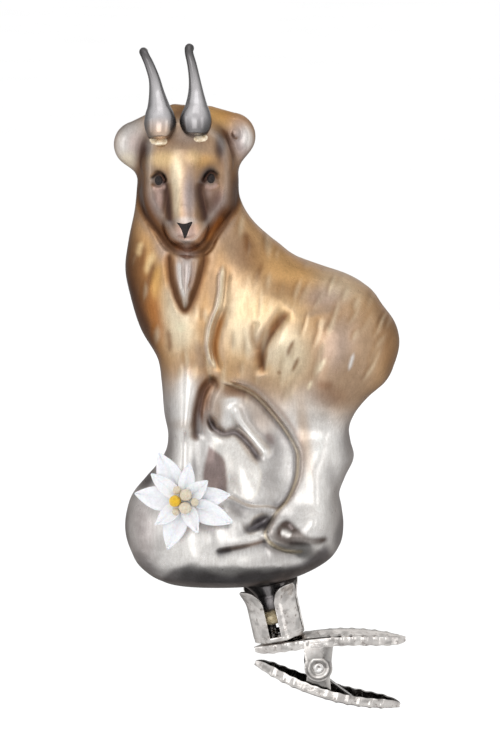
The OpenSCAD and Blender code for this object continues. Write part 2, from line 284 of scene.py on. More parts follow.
class Chart:
    """Layers of modelled height and painted colour over the u, v plane, one for each side."""
    STEP = 0.15
    LOW = np.array([-42.0, 5.0])
    SIZE = (500, 790)

    def __init__(self):
        u = self.LOW[0] + self.STEP * np.arange(self.SIZE[0])
        v = self.LOW[1] + self.STEP * np.arange(self.SIZE[1])
        self.u, self.v = np.meshgrid(u, v, indexing="ij")
        self.form = np.zeros(self.SIZE)
        self.detail = np.zeros(self.SIZE)
        self.colour = np.zeros(self.SIZE + (3,))

    def near(self, points, margin):
        """The part of the chart around some points."""
        pts = np.array(points, float)
        lo = np.floor((pts.min(axis=0) - margin - self.LOW) / self.STEP).astype(int)
        hi = np.ceil((pts.max(axis=0) + margin - self.LOW) / self.STEP).astype(int) + 1
        lo, hi = np.clip(lo, 0, self.SIZE), np.clip(hi, 0, self.SIZE)
        return slice(lo[0], hi[0]), slice(lo[1], hi[1])

    def along_line(self, line, margin, count=32):
        curve = curve_through(line, count)
        area = self.near(curve, margin)
        return (area, *line_distance(self.u[area], self.v[area], curve))

    def groove(self, layer, line, width, depth, ends=0.15, count=32):
        area, d, _, along = self.along_line(line, 3 * width, count)
        layer[area] -= depth * np.exp(-(d / width) ** 2) * taper(along, ends)

    def step(self, layer, line, width, lift, reach):
        """The surface rises by lift on the left of a line, and falls back over reach."""
        area, d, side, along = self.along_line(line, 3 * reach)
        layer[area] += (lift / 2 * np.tanh(d * side / width) * np.exp(-(d / reach) ** 2)
                        * taper(along, 0.1))

    def axes(self, u, v, turn):
        """Distances along and across an axis through u, v that is turned by some degrees."""
        c, s = math.cos(math.radians(turn)), math.sin(math.radians(turn))
        return (self.u - u) * c + (self.v - v) * s, (self.v - v) * c - (self.u - u) * s

    def bump(self, layer, u, v, across, up, lift, turn=0):
        a, b = self.axes(u, v, turn)
        layer += lift * np.exp(-(a / across) ** 2 - (b / up) ** 2)

    def wash(self, colour, u, v, across, up, turn=0, strength=1.0):
        """A soft sprayed patch of colour."""
        a, b = self.axes(u, v, turn)
        near = ((a / across) ** 2 + (b / up) ** 2) ** 1.4
        self.colour = toward(self.colour, colour, strength * np.exp(-near))

    def stroke(self, colour, line, width, strength=0.9, ends=0.2, count=24):
        """One brush stroke that thins out at both ends."""
        area, d, _, along = self.along_line(line, 3 * width, count)
        full = taper(along, ends)
        weight = strength * full * np.exp(-(d / (width * (0.45 + 0.55 * full))) ** 2)
        self.colour[area] = toward(self.colour[area], colour, weight)

    def fill(self, colour, outline, strength, soft):
        """A facet of colour with soft edges."""
        weight = strength * smooth_step(-soft, soft, self.inside(outline))
        self.colour = toward(self.colour, colour, weight)

    def inside(self, outline):
        """Distance inside a closed outline, negative outside it."""
        ring = curve_through(list(outline) + [outline[0]], 60)
        d, _, _ = line_distance(self.u, self.v, ring)
        crossings = np.zeros(self.SIZE, bool)
        for (ua, va), (ub, vb) in zip(ring[:-1], ring[1:]):
            if va != vb:
                level = (va > self.v) != (vb > self.v)
                crossings ^= level & (self.u < (ub - ua) * (self.v - va) / (vb - va) + ua)
        return np.where(crossings, d, -d)

    def read(self, layer, u, v):
        x = np.clip((u - self.LOW[0]) / self.STEP, 0, self.SIZE[0] - 1.001)
        y = np.clip((v - self.LOW[1]) / self.STEP, 0, self.SIZE[1] - 1.001)
        i, j = x.astype(int), y.astype(int)
        s, t = x - i, y - j
        if layer.ndim == 3:
            s, t = s[:, None], t[:, None]
        return ((1 - s) * (1 - t) * layer[i, j] + s * (1 - t) * layer[i + 1, j]
                + (1 - s) * t * layer[i, j + 1] + s * t * layer[i + 1, j + 1])

    def recess_depth(self, reach=7):
        """How far each place lies below its surroundings."""
        h = self.form + self.detail
        soft = h.copy()
        for _ in range(2):
            for axis in (0, 1):
                pad = [(reach + 1, reach) if k == axis else (0, 0) for k in (0, 1)]
                total = np.cumsum(np.pad(soft, pad, mode="edge"), axis=axis)
                span = 2 * reach + 1
                soft = (np.take(total, range(span, total.shape[axis]), axis)
                        - np.take(total, range(total.shape[axis] - span), axis)) / span
        return soft - h


def shifted(line, du, dv):
    return [(u + du, v + dv) for u, v in line]


# Edges and folds that run over the figure, as points on the u, v plane
BELLY_RIM = [(-13.5, 59.6), (-9.6, 58.2), (-6.3, 56.6), (-3, 53.3), (0.3, 49.1), (2.5, 45.2),
             (2.9, 42.6), (2.5, 38.7), (0.6, 34.3), (-1.7, 31.8), (-3.7, 28.4), (-3.9, 26.9),
             (-2.7, 25.2), (0.3, 23.9), (3.5, 23.9)]
FRONT_LEG_EDGE = [(-14, 60.5), (-17, 57.5), (-18.2, 53.5), (-18.6, 49.5), (-18.8, 46)]
ROCK_LEFT_EDGE = [(-14, 59.5), (-16, 55), (-16, 51), (-14.5, 48)]
CRACK = [(-16.6, 52.6), (-14.9, 49.4), (-12.9, 48.1), (-10.6, 48.4), (-7.9, 46.1), (-5.6, 42.9),
         (-4.3, 42)]
ROCK_RIDGE = [(-10.9, 55), (-9, 50), (-3, 43)]
LEDGE = [(-15, 35.6), (-11.6, 35), (-7.6, 33.1), (-2.9, 32.8), (-1.3, 31.8)]
LEDGE_FOLD = [(-13, 33), (-10, 31), (-7.9, 27.6), (-5, 28.8), (-2.6, 30.2)]
LOW_FOLD = [(-14.9, 23.5), (-12.9, 23.9), (-9.6, 24.5), (-6.3, 25.2), (-3.6, 25.9)]
BRIGHT_FACET = [(-14.9, 47), (-9.9, 47.3), (-5.8, 41.4), (-5.3, 38.7), (-6.9, 34.8), (-12.3, 35.3),
                (-12.6, 41), (-14.9, 44.5)]
DIM_FACET = [(-16.2, 45.6), (-13.2, 43.2), (-12.5, 40.6), (-12.4, 35.7), (-14.9, 36), (-17.4, 38.7)]
UNDERSIDE = [(-29, 10), (-27, 16), (-23.9, 19.3), (-21.2, 20.7), (-18.2, 20.3), (-14.6, 18.7),
             (-10.9, 18.3), (-7.6, 19.3), (-2.9, 19.3), (3.7, 21), (9, 24), (9, 10)]
CHEST_LINE = [(-13, 84.1), (-13.6, 76.2), (-14.9, 72.3), (-15.7, 69.6), (-15.9, 65.6), (-14.2, 60.9)]
CHEST_RECESS = [(-12.3, 75.2), (-13.9, 71.5), (-14.9, 67.5), (-14.9, 64), (-13.6, 61)]
THIGH_CREASE = [(1.2, 74.3), (-1.5, 71.5), (-3.9, 68), (-5.1, 64.8), (-4.7, 60.1)]
FLANK_GROOVE = [(-6, 72), (-7, 68.5), (-6, 65)]
BEARD = [(-24.5, 87), (-24, 81), (-22.5, 76), (-21, 74), (-19.5, 76.5), (-18, 81), (-16.5, 87)]
JAW = [(-30.6, 104), (-30.4, 98.5), (-29, 94.5), (-26.3, 90.6), (-24.2, 87.7), (-20.3, 86.3),
       (-17, 87), (-15.2, 90), (-13, 93.2), (-10.6, 97), (-10.2, 104), (-12, 111), (-20.8, 116),
       (-29.5, 111)]
HOOF = [(-0.9, 30.1), (0.6, 30.4), (3, 28.4), (4.9, 26.9), (8.5, 26.5), (8.5, 25.2), (6.2, 24.5),
        (2, 24.5), (-1.4, 25.2), (-3.4, 26.5), (-2.7, 28.2)]

# Soft swells and hollows: u, v, reach across and up, lift, turn
SWELLS = [
    (-21.6, 55, 3.8, 9, 3.4), (-22, 43.5, 3, 7, 3.2), (-21.6, 49.5, 3.2, 2.2, 0.7),
    (-24, 74, 8, 11, 1.6), (-2, 71, 7.5, 9, 2), (13.5, 67, 9, 10.5, 3.4, -10),
    (9.6, 52, 5, 8, 2.8, 20), (8.6, 44.5, 4.2, 3.6, 2.4), (7.2, 36, 4, 7, 4, 12),
    (6.4, 29.4, 4.6, 3.4, 3), (3.4, 25.8, 6, 2.4, 2.4, -20), (-7, 52, 6.5, 7.5, -2),
    (-14, 42, 4, 6, -1.2), (-9.8, 41.6, 3.4, 5.4, 2, 25), (-1, 44, 3.2, 8, -0.8),
    (-12, 27, 6, 4, 0.8), (-26, 27, 7, 8, 1.2), (-10, 20.6, 12, 2.6, 0.7),
    (-5, 29.4, 4, 1.6, -1.4, 25), (13, 31, 2.6, 7, -1), (4, 62, 2.5, 6, -1, -25)]

# Paints, as linear colours
PALETTE = {
    "silver": (0.84, 0.82, 0.80), "pearl": (0.98, 0.96, 0.93), "pewter": (0.40, 0.375, 0.365),
    "slate": (0.10, 0.09, 0.10), "gold": (0.78, 0.44, 0.14), "pale_gold": (0.95, 0.68, 0.36),
    "cream": (1.0, 0.86, 0.62), "tan": (0.62, 0.375, 0.18), "taupe": (0.42, 0.30, 0.215),
    "umber": (0.24, 0.105, 0.04), "brown": (0.10, 0.040, 0.018), "amber": (0.48, 0.18, 0.04),
    "plum": (0.055, 0.027, 0.025), "mauve": (0.20, 0.115, 0.10), "lilac": (0.50, 0.42, 0.41),
    "rose": (0.66, 0.46, 0.40), "black": (0.012, 0.010, 0.010),
    "coat": (0.682, 0.4125, 0.198), "hoof": (0.05, 0.02, 0.009)}


# ---- hair, engraved and painted in one pass, with painted shade in each groove and a painted highlight beside it
def hair_lie(u, v):
    """Direction in which the coat lies, in degrees from +u."""
    flank = -95 - 20 * float(smooth_step(-8, 12, u))
    return -102.0 if u < -22 else (-88.0 if u < -15 else flank)


def in_coat(u, v):
    """The coat covers chest, neck and body, and stops above the legs and under the head."""
    left, right = float(eased(LEFT, np.array([v]))[0]), float(eased(RIGHT, np.array([v]))[0])
    low = 60 if u < -14 else 55 + 4 * float(smooth_step(-5, 15, u))
    head = v > 86 - 6 * float(smooth_step(9, 4, abs(u + 20.7)))
    return left + 1.5 < u < right - 1.5 and v > low and not (head and u < -10.5)


def comb(chart, seed):
    for i in range(24):
        for j in range(16):
            u = -35 + 2.6 * i + 1.6 * (dice(i, j, seed) - 0.5)
            v = 53 + 3.1 * j + 2.4 * (dice(i, j, seed + 1) - 0.5) + 1.5 * (i % 2)
            if not in_coat(u, v) or dice(i, j, seed + 7) < 0.4:
                continue
            length = 4 + 5 * dice(i, j, seed + 2)
            lie = math.radians(hair_lie(u, v) + 14 * (dice(i, j, seed + 3) - 0.5))
            bend = 0.9 * (dice(i, j, seed + 4) - 0.5)
            du, dv = math.cos(lie) * length / 2, math.sin(lie) * length / 2
            line = [(u - du, v - dv), (u + bend, v), (u + du, v + dv)]
            tone = dice(i, j, seed + 5)
            width = 0.4 + 0.45 * dice(i, j, seed + 6)
            chart.groove(chart.detail, line, width, 0.03 + 0.1 * tone, 0.45, 10)
            # umber in each engraved hair's groove is painted shade; the cream line set beside it is a
            # painted highlight
            chart.stroke("umber", line, width, 0.08 + 0.3 * tone, 0.45, 10)
            chart.stroke("cream", shifted(line, 0.55, -0.1), 0.8 * width, 0.45 * tone, 0.45, 10)


# ---- relief
def model_body(chart):
    """Swells, creases and the rock's folds, the same on both faces of the mould."""
    for swell in SWELLS:
        chart.bump(chart.form, *swell)
    chart.step(chart.form, BELLY_RIM, 0.45, 1.7, 3.2)
    chart.groove(chart.form, shifted(BELLY_RIM, -0.45, -0.3), 0.3, -0.3, 0.04, 60)
    chart.groove(chart.form, FRONT_LEG_EDGE, 1.2, 1.2)
    chart.groove(chart.form, ROCK_LEFT_EDGE, 0.7, 0.5)
    chart.groove(chart.form, shifted(CHEST_LINE, 0.8, 0), 0.9, 0.4)
    chart.groove(chart.form, shifted(CHEST_LINE, -0.6, 0), 0.6, -0.4)
    chart.groove(chart.form, CHEST_RECESS, 1.1, 0.4)
    chart.groove(chart.form, THIGH_CREASE, 1.6, 0.8)
    chart.groove(chart.form, FLANK_GROOVE, 0.8, 0.25)
    chart.groove(chart.form, CRACK, 1.0, 0.8)
    chart.groove(chart.form, ROCK_RIDGE, 1.2, -1.0)
    chart.step(chart.form, LEDGE, 0.5, -1.3, 3)
    chart.step(chart.form, LEDGE_FOLD, 0.7, -1, 3)
    chart.step(chart.form, LOW_FOLD, 0.6, 1, 3)
    places = np.stack([chart.u.ravel(), chart.v.ravel(), 0 * chart.u.ravel()], axis=1)
    lumps = 0.6 * hash_noise(places / 6.5, 2) + 0.25 * hash_noise(places / 2.8, 3)
    stone = smooth_step(36, 30, chart.v) * smooth_step(16, 19, chart.v)
    chart.form += lumps.reshape(chart.SIZE) * stone


# Beside the nose, over the eye and under the eye: line from the face's middle, width, depth
FACE_MIDDLE = -21.1
FACE_GROOVES = [([(3.2, 101), (3.6, 96), (3.4, 92)], 1.3, 0.25),
                ([(3.6, 100.5), (5.4, 102.7), (7.4, 101.5)], 0.45, 0.35),
                ([(4, 99.9), (5.6, 99.4), (7.2, 100.6)], 0.4, 0.25)]


def model_head(chart):
    """A shield-shaped face that stands out from the neck, and the beard below it."""
    inside = chart.inside(JAW)
    chart.detail += 1.7 * smooth_step(-0.4, 2.6, inside)
    chart.detail -= 0.5 * np.exp(-((inside + 0.7) / 0.7) ** 2) * (chart.v < 100)
    chart.groove(chart.detail, BEARD, 1.0, 0.5, 0.1, 50)
    chart.bump(chart.detail, -20.6, 82.5, 2.4, 5.5, 1.7)
    chart.bump(chart.detail, -21, 77.5, 1.2, 3, 0.8)
    chart.groove(chart.detail, [(-22, 85), (-22, 81), (-21.4, 78)], 0.4, 0.3)
    chart.groove(chart.detail, [(-19.3, 85), (-19.6, 81), (-20.4, 78)], 0.4, 0.3)
    chart.groove(chart.detail, [(-22.7, 89.5), (-20.8, 88.9), (-18.9, 89.5)], 0.3, 0.3)
    for side in (-1, 1):
        for line, width, depth in FACE_GROOVES:
            line = [(FACE_MIDDLE + side * u, v) for u, v in line]
            chart.groove(chart.detail, line, width, depth)


# ---- paint
# Brush strokes that belong to no fold: colour, line, width, strength
BODY_STROKES = [
    ("pale_gold", [(-30, 89), (-31, 85)], 0.8, 0.9),
    ("pale_gold", [(-27.4, 87), (-29.4, 81)], 0.9, 0.95),
    ("umber", [(-29.4, 89.5), (-30, 85), (-31, 81)], 0.7, 0.8),
    ("umber", [(-27, 85.5), (-28.6, 80.5), (-29, 77)], 0.8, 0.85),
    ("gold", [(-25.8, 85), (-27.2, 79.5), (-27.6, 75)], 0.8, 0.9),
    ("amber", [(-28.5, 79), (-27.6, 73), (-25.6, 66)], 1.6, 0.75),
    ("umber", [(-24.8, 71), (-24.4, 67.5), (-24.3, 64.5)], 0.7, 0.75),
    ("brown", [(-33, 86), (-32.6, 79), (-29.6, 71), (-26.6, 63.5)], 1.2, 0.75),
    ("cream", [(-24, 82), (-24, 76), (-22.6, 69)], 1.6, 0.75),
    ("tan", [(-17, 80), (-17.6, 74), (-18.4, 67)], 1.5, 0.6),
    ("taupe", [(-18.6, 69), (-18, 64), (-17.2, 60)], 1.5, 0.7),
    ("umber", [(-8.8, 91.4), (-8, 88.5), (-7.6, 85.4)], 0.9, 0.85),
    ("umber", [(-4.6, 85), (-5.6, 82), (-6.4, 79)], 0.7, 0.6),
    ("umber", [(-6.8, 73), (-7.1, 69), (-6.5, 65.4)], 0.8, 0.6),
    ("umber", [(2.1, 68.4), (0.8, 66), (0, 63.6)], 0.45, 0.8),
    ("umber", [(2.9, 64.8), (2, 62.6), (1.1, 60.7)], 0.45, 0.8),
    ("umber", [(-2, 61.4), (-1.3, 61), (-0.6, 61.2)], 0.4, 0.6),
    ("taupe", [(2.1, 72.4), (7, 73.8), (12.5, 74.8)], 0.9, 0.6),
    ("cream", [(8.6, 64.4), (7.4, 62.4), (6.3, 60.6)], 0.5, 0.95),
    ("pearl", [(14.4, 65.6), (13.7, 63.2), (13.1, 61)], 0.35, 0.9),
    ("cream", [(5.7, 59.6), (5, 58.3), (4.6, 57)], 0.4, 0.85),
    ("umber", [(5.8, 59), (8, 58.4), (10.6, 58.6)], 1.1, 0.6)]


def paint_body(chart):
    chart.colour[:] = PALETTE["silver"]
    warm = smooth_step(48, 60, chart.v + 0.18 * (chart.u - 4))
    chart.colour = toward(chart.colour, "coat", warm)
    for wash in (
            ("cream", -8, 71, 6, 9, 10, 0.9), ("cream", 0.5, 65, 5, 7, 10, 0.9),
            ("pale_gold", -4, 74, 8, 4, 0, 0.6), ("gold", -9, 61, 5, 4, 0, 0.45),
            ("gold", 0, 84, 9, 5, -25, 0.5), ("umber", -1.5, 78, 5, 2.4, 0, 0.4),
            ("taupe", -10.5, 87, 3.5, 6, 20, 0.7), ("tan", -3, 88, 5, 5, -20, 0.5),
            ("lilac", 8.5, 77, 5, 3, 10, 0.6), ("cream", 12, 80, 6, 3.5, -25, 0.45),
            ("taupe", 14, 66, 7, 9, -8, 0.6), ("lilac", 10, 66, 4, 7, -10, 0.4),
            ("umber", 22, 67, 2.5, 9, 4, 0.5), ("taupe", 8, 58, 6, 3.5, -10, 0.6),
            ("taupe", 15, 58, 5, 4, 35, 0.6), ("taupe", -7, 60, 6, 2.5, -25, 0.6),
            ("pearl", 4, 54, 4, 4, 0, 0.5), ("gold", -28, 76, 4, 12, 8, 0.8),
            ("amber", -28, 73, 3, 10, 14, 0.75), ("umber", -31.2, 80, 2.2, 12, 5, 0.7),
            ("cream", -22, 71, 3.8, 7, 0, 0.95),
            ("lilac", -25.6, 87, 2, 3, 0, 0.5), ("brown", -33.4, 80, 2.6, 15, 4, 0.85),
            ("brown", -29.4, 68, 2.2, 9, 16, 0.75), ("taupe", -15.2, 80, 1.6, 7, 0, 0.45),
            # pearl down each leg's middle at (-20.8, 57), (-21, 45), (8, 45) and (6, 35) is painted
            # highlight; pewter and slate at (-24.6, 45), (-19.3, 41), (13, 45) and (9.6, 39) are
            # painted shade down the legs' sides
            ("tan", -20.5, 63, 4, 3, 0, 0.7), ("pearl", -20.8, 57, 2.2, 4.5, 0, 0.95),
            ("umber", 9, 55.8, 4, 2.6, -10, 0.6), ("umber", -7.5, 85.6, 3, 4, 20, 0.5),
            ("umber", -30, 78, 2, 11, 8, 0.5), ("pearl", -21, 45, 2.4, 6, 0, 0.95),
            # umber at (-16.8, 56) and brown at (-18, 51.4) are painted shade in the gap between the
            # front leg and the rock
            ("taupe", -21, 50, 4, 1.2, 0, 0.5), ("umber", -16.8, 56, 1.6, 5, 6, 0.8),
            ("brown", -18, 51.4, 1.5, 3.4, 10, 0.95), ("slate", -19.3, 41, 0.7, 3, 0, 0.6),
            ("pewter", -24.6, 45, 1.4, 9, 0, 0.5), ("pearl", 8, 45, 3.6, 7, 10, 0.95),
            ("pearl", 6, 35, 3.4, 6, 10, 0.95), ("tan", 4, 47, 1.4, 8, 6, 0.5),
            ("pewter", 13, 45, 1.6, 7, 0, 0.55), ("pewter", 9.6, 39, 1.2, 5, 12, 0.4)):
        chart.wash(*wash)
    for stroke in BODY_STROKES:
        chart.stroke(*stroke, 0.35)
    chart.stroke("tan", shifted(CHEST_RECESS, 0.5, 0), 1.5, 0.7, 0.3)
    chart.stroke("amber", shifted(CHEST_RECESS, 0.2, 0), 0.7, 0.85, 0.3)
    chart.stroke("umber", shifted(CHEST_LINE, -0.7, 0), 0.35, 0.7, 0.1)
    chart.stroke("cream", shifted(CHEST_LINE, -0.1, 0), 0.35, 0.95, 0.1)
    chart.stroke("amber", shifted(THIGH_CREASE, -0.5, 0.2), 1.5, 0.6, 0.25)
    chart.stroke("umber", THIGH_CREASE, 0.9, 0.95, 0.15)
    chart.stroke("brown", shifted(THIGH_CREASE, 0.3, -0.1), 0.4, 0.7, 0.2)
    # painted shade in the gap between the front leg and the rock
    chart.stroke("umber", FRONT_LEG_EDGE, 1.3, 0.85, 0.1)
    chart.stroke("brown", shifted(FRONT_LEG_EDGE, 0.3, 0), 0.6, 0.8)
    chart.stroke("umber", shifted(BELLY_RIM, 0.8, 0.8), 0.6, 0.6, 0.1, 60)
    chart.stroke("brown", shifted(BELLY_RIM, -1, -0.9), 0.5, 0.45, 0.1, 60)
    chart.stroke("cream", shifted(BELLY_RIM, -0.3, -0.2), 0.3, 0.85, 0.05, 60)


def paint_rock(chart):
    places = np.stack([chart.u.ravel() / 4.5, chart.v.ravel() / 3.2, 0 * chart.u.ravel()], axis=1)
    stain = smooth_step(0.05, 0.75, hash_noise(places, 9) + 0.35 * hash_noise(places * 3.3, 10))
    low = smooth_step(36, 30, chart.v)
    chart.colour = toward(chart.colour, "pewter", 0.5 * low * stain.reshape(chart.SIZE))
    # painted shade over the rock's underside
    chart.fill("slate", UNDERSIDE, 0.8, 0.8)
    for wash in (
            ("umber", -12, 57.4, 4, 1.6, -15, 0.7), ("taupe", -14.4, 53, 1.4, 4, 0, 0.85),
            ("taupe", -5, 51, 3, 4, 35, 0.6), ("pewter", -2, 45, 2.6, 4, 20, 0.7),
            ("mauve", -3.4, 47, 1.2, 1.6, 25, 0.6), ("pewter", -3, 38, 2.4, 4.4, 5, 0.7),
            ("silver", 0.6, 41, 1.4, 5, -5, 0.8), ("silver", -17.4, 46, 0.9, 5, 10, 0.9),
            ("pewter", -10.2, 32, 2.4, 1.6, -20, 0.85), ("slate", -6, 28.8, 3.6, 1.4, 30, 0.9),
            ("pearl", -13.8, 27.4, 1.2, 2.6, 0, 0.9), ("pearl", -5, 31.4, 2.6, 0.7, 10, 0.7),
            ("slate", -29.6, 38.4, 2, 2.4, -35, 0.9), ("lilac", -29.6, 28, 2.6, 7, 6, 0.5),
            ("pewter", -27.6, 32, 1.4, 2, 30, 0.5), ("pewter", -26.4, 25, 1.2, 2, -20, 0.4),
            # slate at (-34.4, 30) is a painted dark reflection down the rock's left edge
            ("slate", -34.4, 30, 1.0, 8, 6, 0.7), ("slate", -29, 19.6, 4, 2, -40, 0.6),
            # pearl at (-20, 24.6) and (-11.6, 21.4) is painted light on the rock's lower front
            ("pearl", -20, 24.6, 6, 4, 4, 1.0), ("pearl", -11.6, 21.4, 6, 1.8, 4, 0.95),
            # slate at (11.8, 27) is a painted dark reflection down the rock's right edge
            ("pewter", -1, 22.4, 6, 1.2, 12, 0.5), ("slate", 11.8, 27, 1.3, 6, -12, 0.6)):
        chart.wash(*wash)
    chart.fill("cream", BRIGHT_FACET, 0.5, 0.5)
    chart.fill("pearl", BRIGHT_FACET, 0.9, 0.5)
    chart.fill("mauve", DIM_FACET, 0.8, 0.5)
    chart.stroke("pearl", [(-11.2, 56.2), (-11, 52.5), (-10.6, 50)], 1.7, 0.95, 0.15)
    chart.stroke("pearl", [(-10.4, 50.6), (-6.6, 47.2), (-3, 42.8)], 1.1, 0.95, 0.15)
    chart.stroke("umber", CRACK, 1.0, 0.6, 0.15)
    chart.stroke("slate", shifted(CRACK, 0, -0.1), 0.6, 0.65, 0.15)
    chart.stroke("slate", shifted(LEDGE, 0, -0.9), 0.8, 0.6)
    chart.stroke("pearl", shifted(LEDGE, 0, 0.2), 0.4, 0.8)
    chart.stroke("pearl", [(-12.3, 24.8), (-7.9, 26.8), (-3.9, 27)], 0.6, 0.85)
    chart.stroke("umber", LOW_FOLD, 0.6, 0.7)
    chart.stroke("slate", [(-15, 23.2), (-13.4, 23.4), (-11, 24)], 0.8, 0.7)
    chart.colour = toward(chart.colour, "hoof", 0.9 * smooth_step(-0.3, 0.8, chart.inside(HOOF)))
    # painted glint on the hoof
    chart.stroke("pearl", [(-1.2, 27.4), (0, 27.4), (1.2, 26.6)], 0.6, 0.9)
    chart.stroke("cream", [(-3.8, 26), (-1.6, 24.2), (1.4, 23.4), (4, 23.5)], 0.4, 0.9, 0.1)
    # painted glint on the hoof
    chart.stroke("lilac", [(0.6, 29.4), (1.6, 28)], 0.3, 0.8)


EYES = {"left": (-26.5, 101.1), "right": (-15.6, 101.5)}


def paint_head(chart):
    for wash in (
            ("taupe", -20.5, 109, 9, 6, 0, 0.9), ("umber", -21, 109.6, 5.5, 1.8, 0, 0.4),
            ("pewter", -20.5, 110.6, 3, 2.2, 0, 0.4),
            ("gold", -13, 115, 6, 2.5, -15, 0.8), ("amber", -10, 114.6, 4, 1.2, -12, 0.4),
            ("umber", -21, 116, 3, 2, 0, 0.6), ("silver", -33, 109.2, 4.2, 7, -10, 0.95),
            # cream at (-33.4, 105.4) is a painted reflection on the left ear
            ("rose", -31.4, 109, 2, 3, 0, 0.5), ("cream", -33.4, 105.4, 2.4, 2, 0, 0.6),
            ("pewter", -33, 113, 4, 1.6, 20, 0.5), ("lilac", -9.2, 109.6, 2.8, 5, 8, 0.95),
            ("pearl", -8, 110.4, 1.4, 2.4, 8, 0.7), ("mauve", -11.4, 110.4, 0.8, 1.8, 0, 0.5),
            ("plum", -29.5, 106.6, 2.0, 4.4, 0, 0.95), ("umber", -30.6, 102, 1.4, 4, 0, 0.75),
            ("plum", -13.6, 108, 1.4, 4.2, 0, 0.95), ("umber", -12, 104, 1.6, 3.6, 0, 0.6),
            ("mauve", -27.4, 96, 3, 5.6, 0, 0.95), ("mauve", -14, 96, 3.2, 5.6, 0, 0.95),
            ("pale_gold", -25.4, 105.4, 3, 1.7, 0, 0.95), ("gold", -17, 105, 2.4, 1.6, 0, 0.6),
            ("pale_gold", -19.4, 105.8, 1.6, 1.6, 0, 0.6), ("cream", -22.8, 102, 1.4, 4.4, 0, 0.9),
            ("lilac", -20.2, 97.6, 1.7, 6, 0, 0.9), ("cream", -22.8, 96, 0.9, 5, 0, 0.75),
            ("rose", -20.9, 90, 3.2, 3, 0, 0.95), ("pearl", -20.9, 92.6, 2.4, 0.8, 0, 0.5),
            ("mauve", -20.9, 87.6, 2, 0.7, 0, 0.6), ("rose", -26.2, 98, 0.8, 2, 8, 0.7),
            ("rose", -16.4, 98.6, 0.9, 1.6, 0, 0.6), ("umber", -10.7, 98.5, 1.2, 5, 0, 0.8),
            ("umber", -30.4, 97, 0.9, 4, -8, 0.7)):
        chart.wash(*wash)
    chart.stroke("plum", [(-28.4, 105), (-26.6, 102.4), (-24.9, 99.3), (-24.4, 95.3), (-23.9, 91.4),
                          (-22.9, 88.4)], 1.5, 0.95, 0.25)
    chart.stroke("plum", [(-14, 106.6), (-15.8, 103.2), (-17.8, 99.6), (-17.2, 95.6), (-16.4, 92),
                          (-16.2, 89)], 2.0, 0.95, 0.25)
    below = [point for point in JAW if point[1] < 105]
    chart.stroke("umber", shifted(below, 0, 0.5), 1.7, 0.85, 0.1)
    chart.stroke("brown", shifted(below, 0, -0.5), 0.8, 0.75, 0.1)
    chart.stroke("amber", [(-16.6, 88), (-15, 91), (-12.6, 94)], 0.7, 0.6)
    chart.stroke("amber", [(-23.6, 87.6), (-20.8, 86.6), (-18, 87.4)], 0.6, 0.6)
    chart.wash("lilac", -20.9, 81.6, 2.5, 5, 0, 0.95)
    chart.stroke("pearl", [(-22.4, 85), (-22, 80), (-20.9, 76)], 0.5, 0.9)
    chart.stroke("umber", [(-21.2, 84), (-21.2, 80), (-21, 77)], 0.4, 0.5)
    chart.stroke("umber", BEARD, 1.3, 0.95, 0.08, 50)
    chart.stroke("brown", BEARD, 0.6, 0.7, 0.08, 50)
    for u, v in EYES.values():
        chart.wash("plum", u, v, 1.7, 1.5, 0, 0.75)
        chart.stroke("black", [(u - 1.9, v), (u, v + 1.6), (u + 1.9, v + 0.3)], 0.45, 0.9)
        chart.stroke("rose", [(u - 1.5, v - 1.3), (u, v - 1.9), (u + 1.6, v - 0.9)], 0.45, 0.85)


front, back = Chart(), Chart()
for face, seed in ((front, 11), (back, 57)):
    model_body(face)
    paint_body(face)
    paint_rock(face)
    comb(face, seed)
model_head(front)
paint_head(front)
back.wash("tan", -20.5, 106, 12, 14, 0, 0.9)
back.wash("umber", -20.5, 115, 8, 3, 0, 0.5)
for face in (front, back):
    face.recess = face.recess_depth()


def middle_and_half(low_table, high_table, z):
    low, high = eased(low_table, z), eased(high_table, z)
    return (low + high) / 2, np.maximum((high - low) / 2, 1)


def facing(p):
    """-1 on the front of the figure, 1 on the back, and between them round its sides."""
    z = np.clip(p[:, 2], FIGURE_FOOT, FIGURE_TOP)
    cy, ry = middle_and_half(FRONT, BACK, z)
    return (p[:, 1] - cy) / ry


def looks_at(p, what, turn, soft=(0.1, 0.7)):
    """A chart layer on the front and on the back, and how much each counts at a point."""
    u, v = front_uv(p)
    ahead, behind = [face.read(getattr(face, what), u, v) for face in (front, back)]
    return ahead, behind, smooth_step(*soft, -turn), smooth_step(*soft, turn)


def trunk(p, turn):
    """Body, head and rock: one rounded ring at each height."""
    z = np.clip(p[:, 2], FIGURE_FOOT, FIGURE_TOP)
    cx, rx = middle_and_half(LEFT, RIGHT, z)
    cy, ry = middle_and_half(FRONT, BACK, z)
    ahead, behind, w_ahead, w_behind = looks_at(p, "form", turn)
    lift = ahead * w_ahead - behind * w_behind
    q = (np.abs((p[:, 0] - cx) / rx) ** RING_POWER
         + np.abs((p[:, 1] + lift - cy) / ry) ** RING_POWER) ** (1 / RING_POWER)
    f = (q - 1) * np.minimum(rx, ry)
    return carve(f, -np.maximum(FIGURE_FOOT - p[:, 2], p[:, 2] - FIGURE_TOP), 1.0)


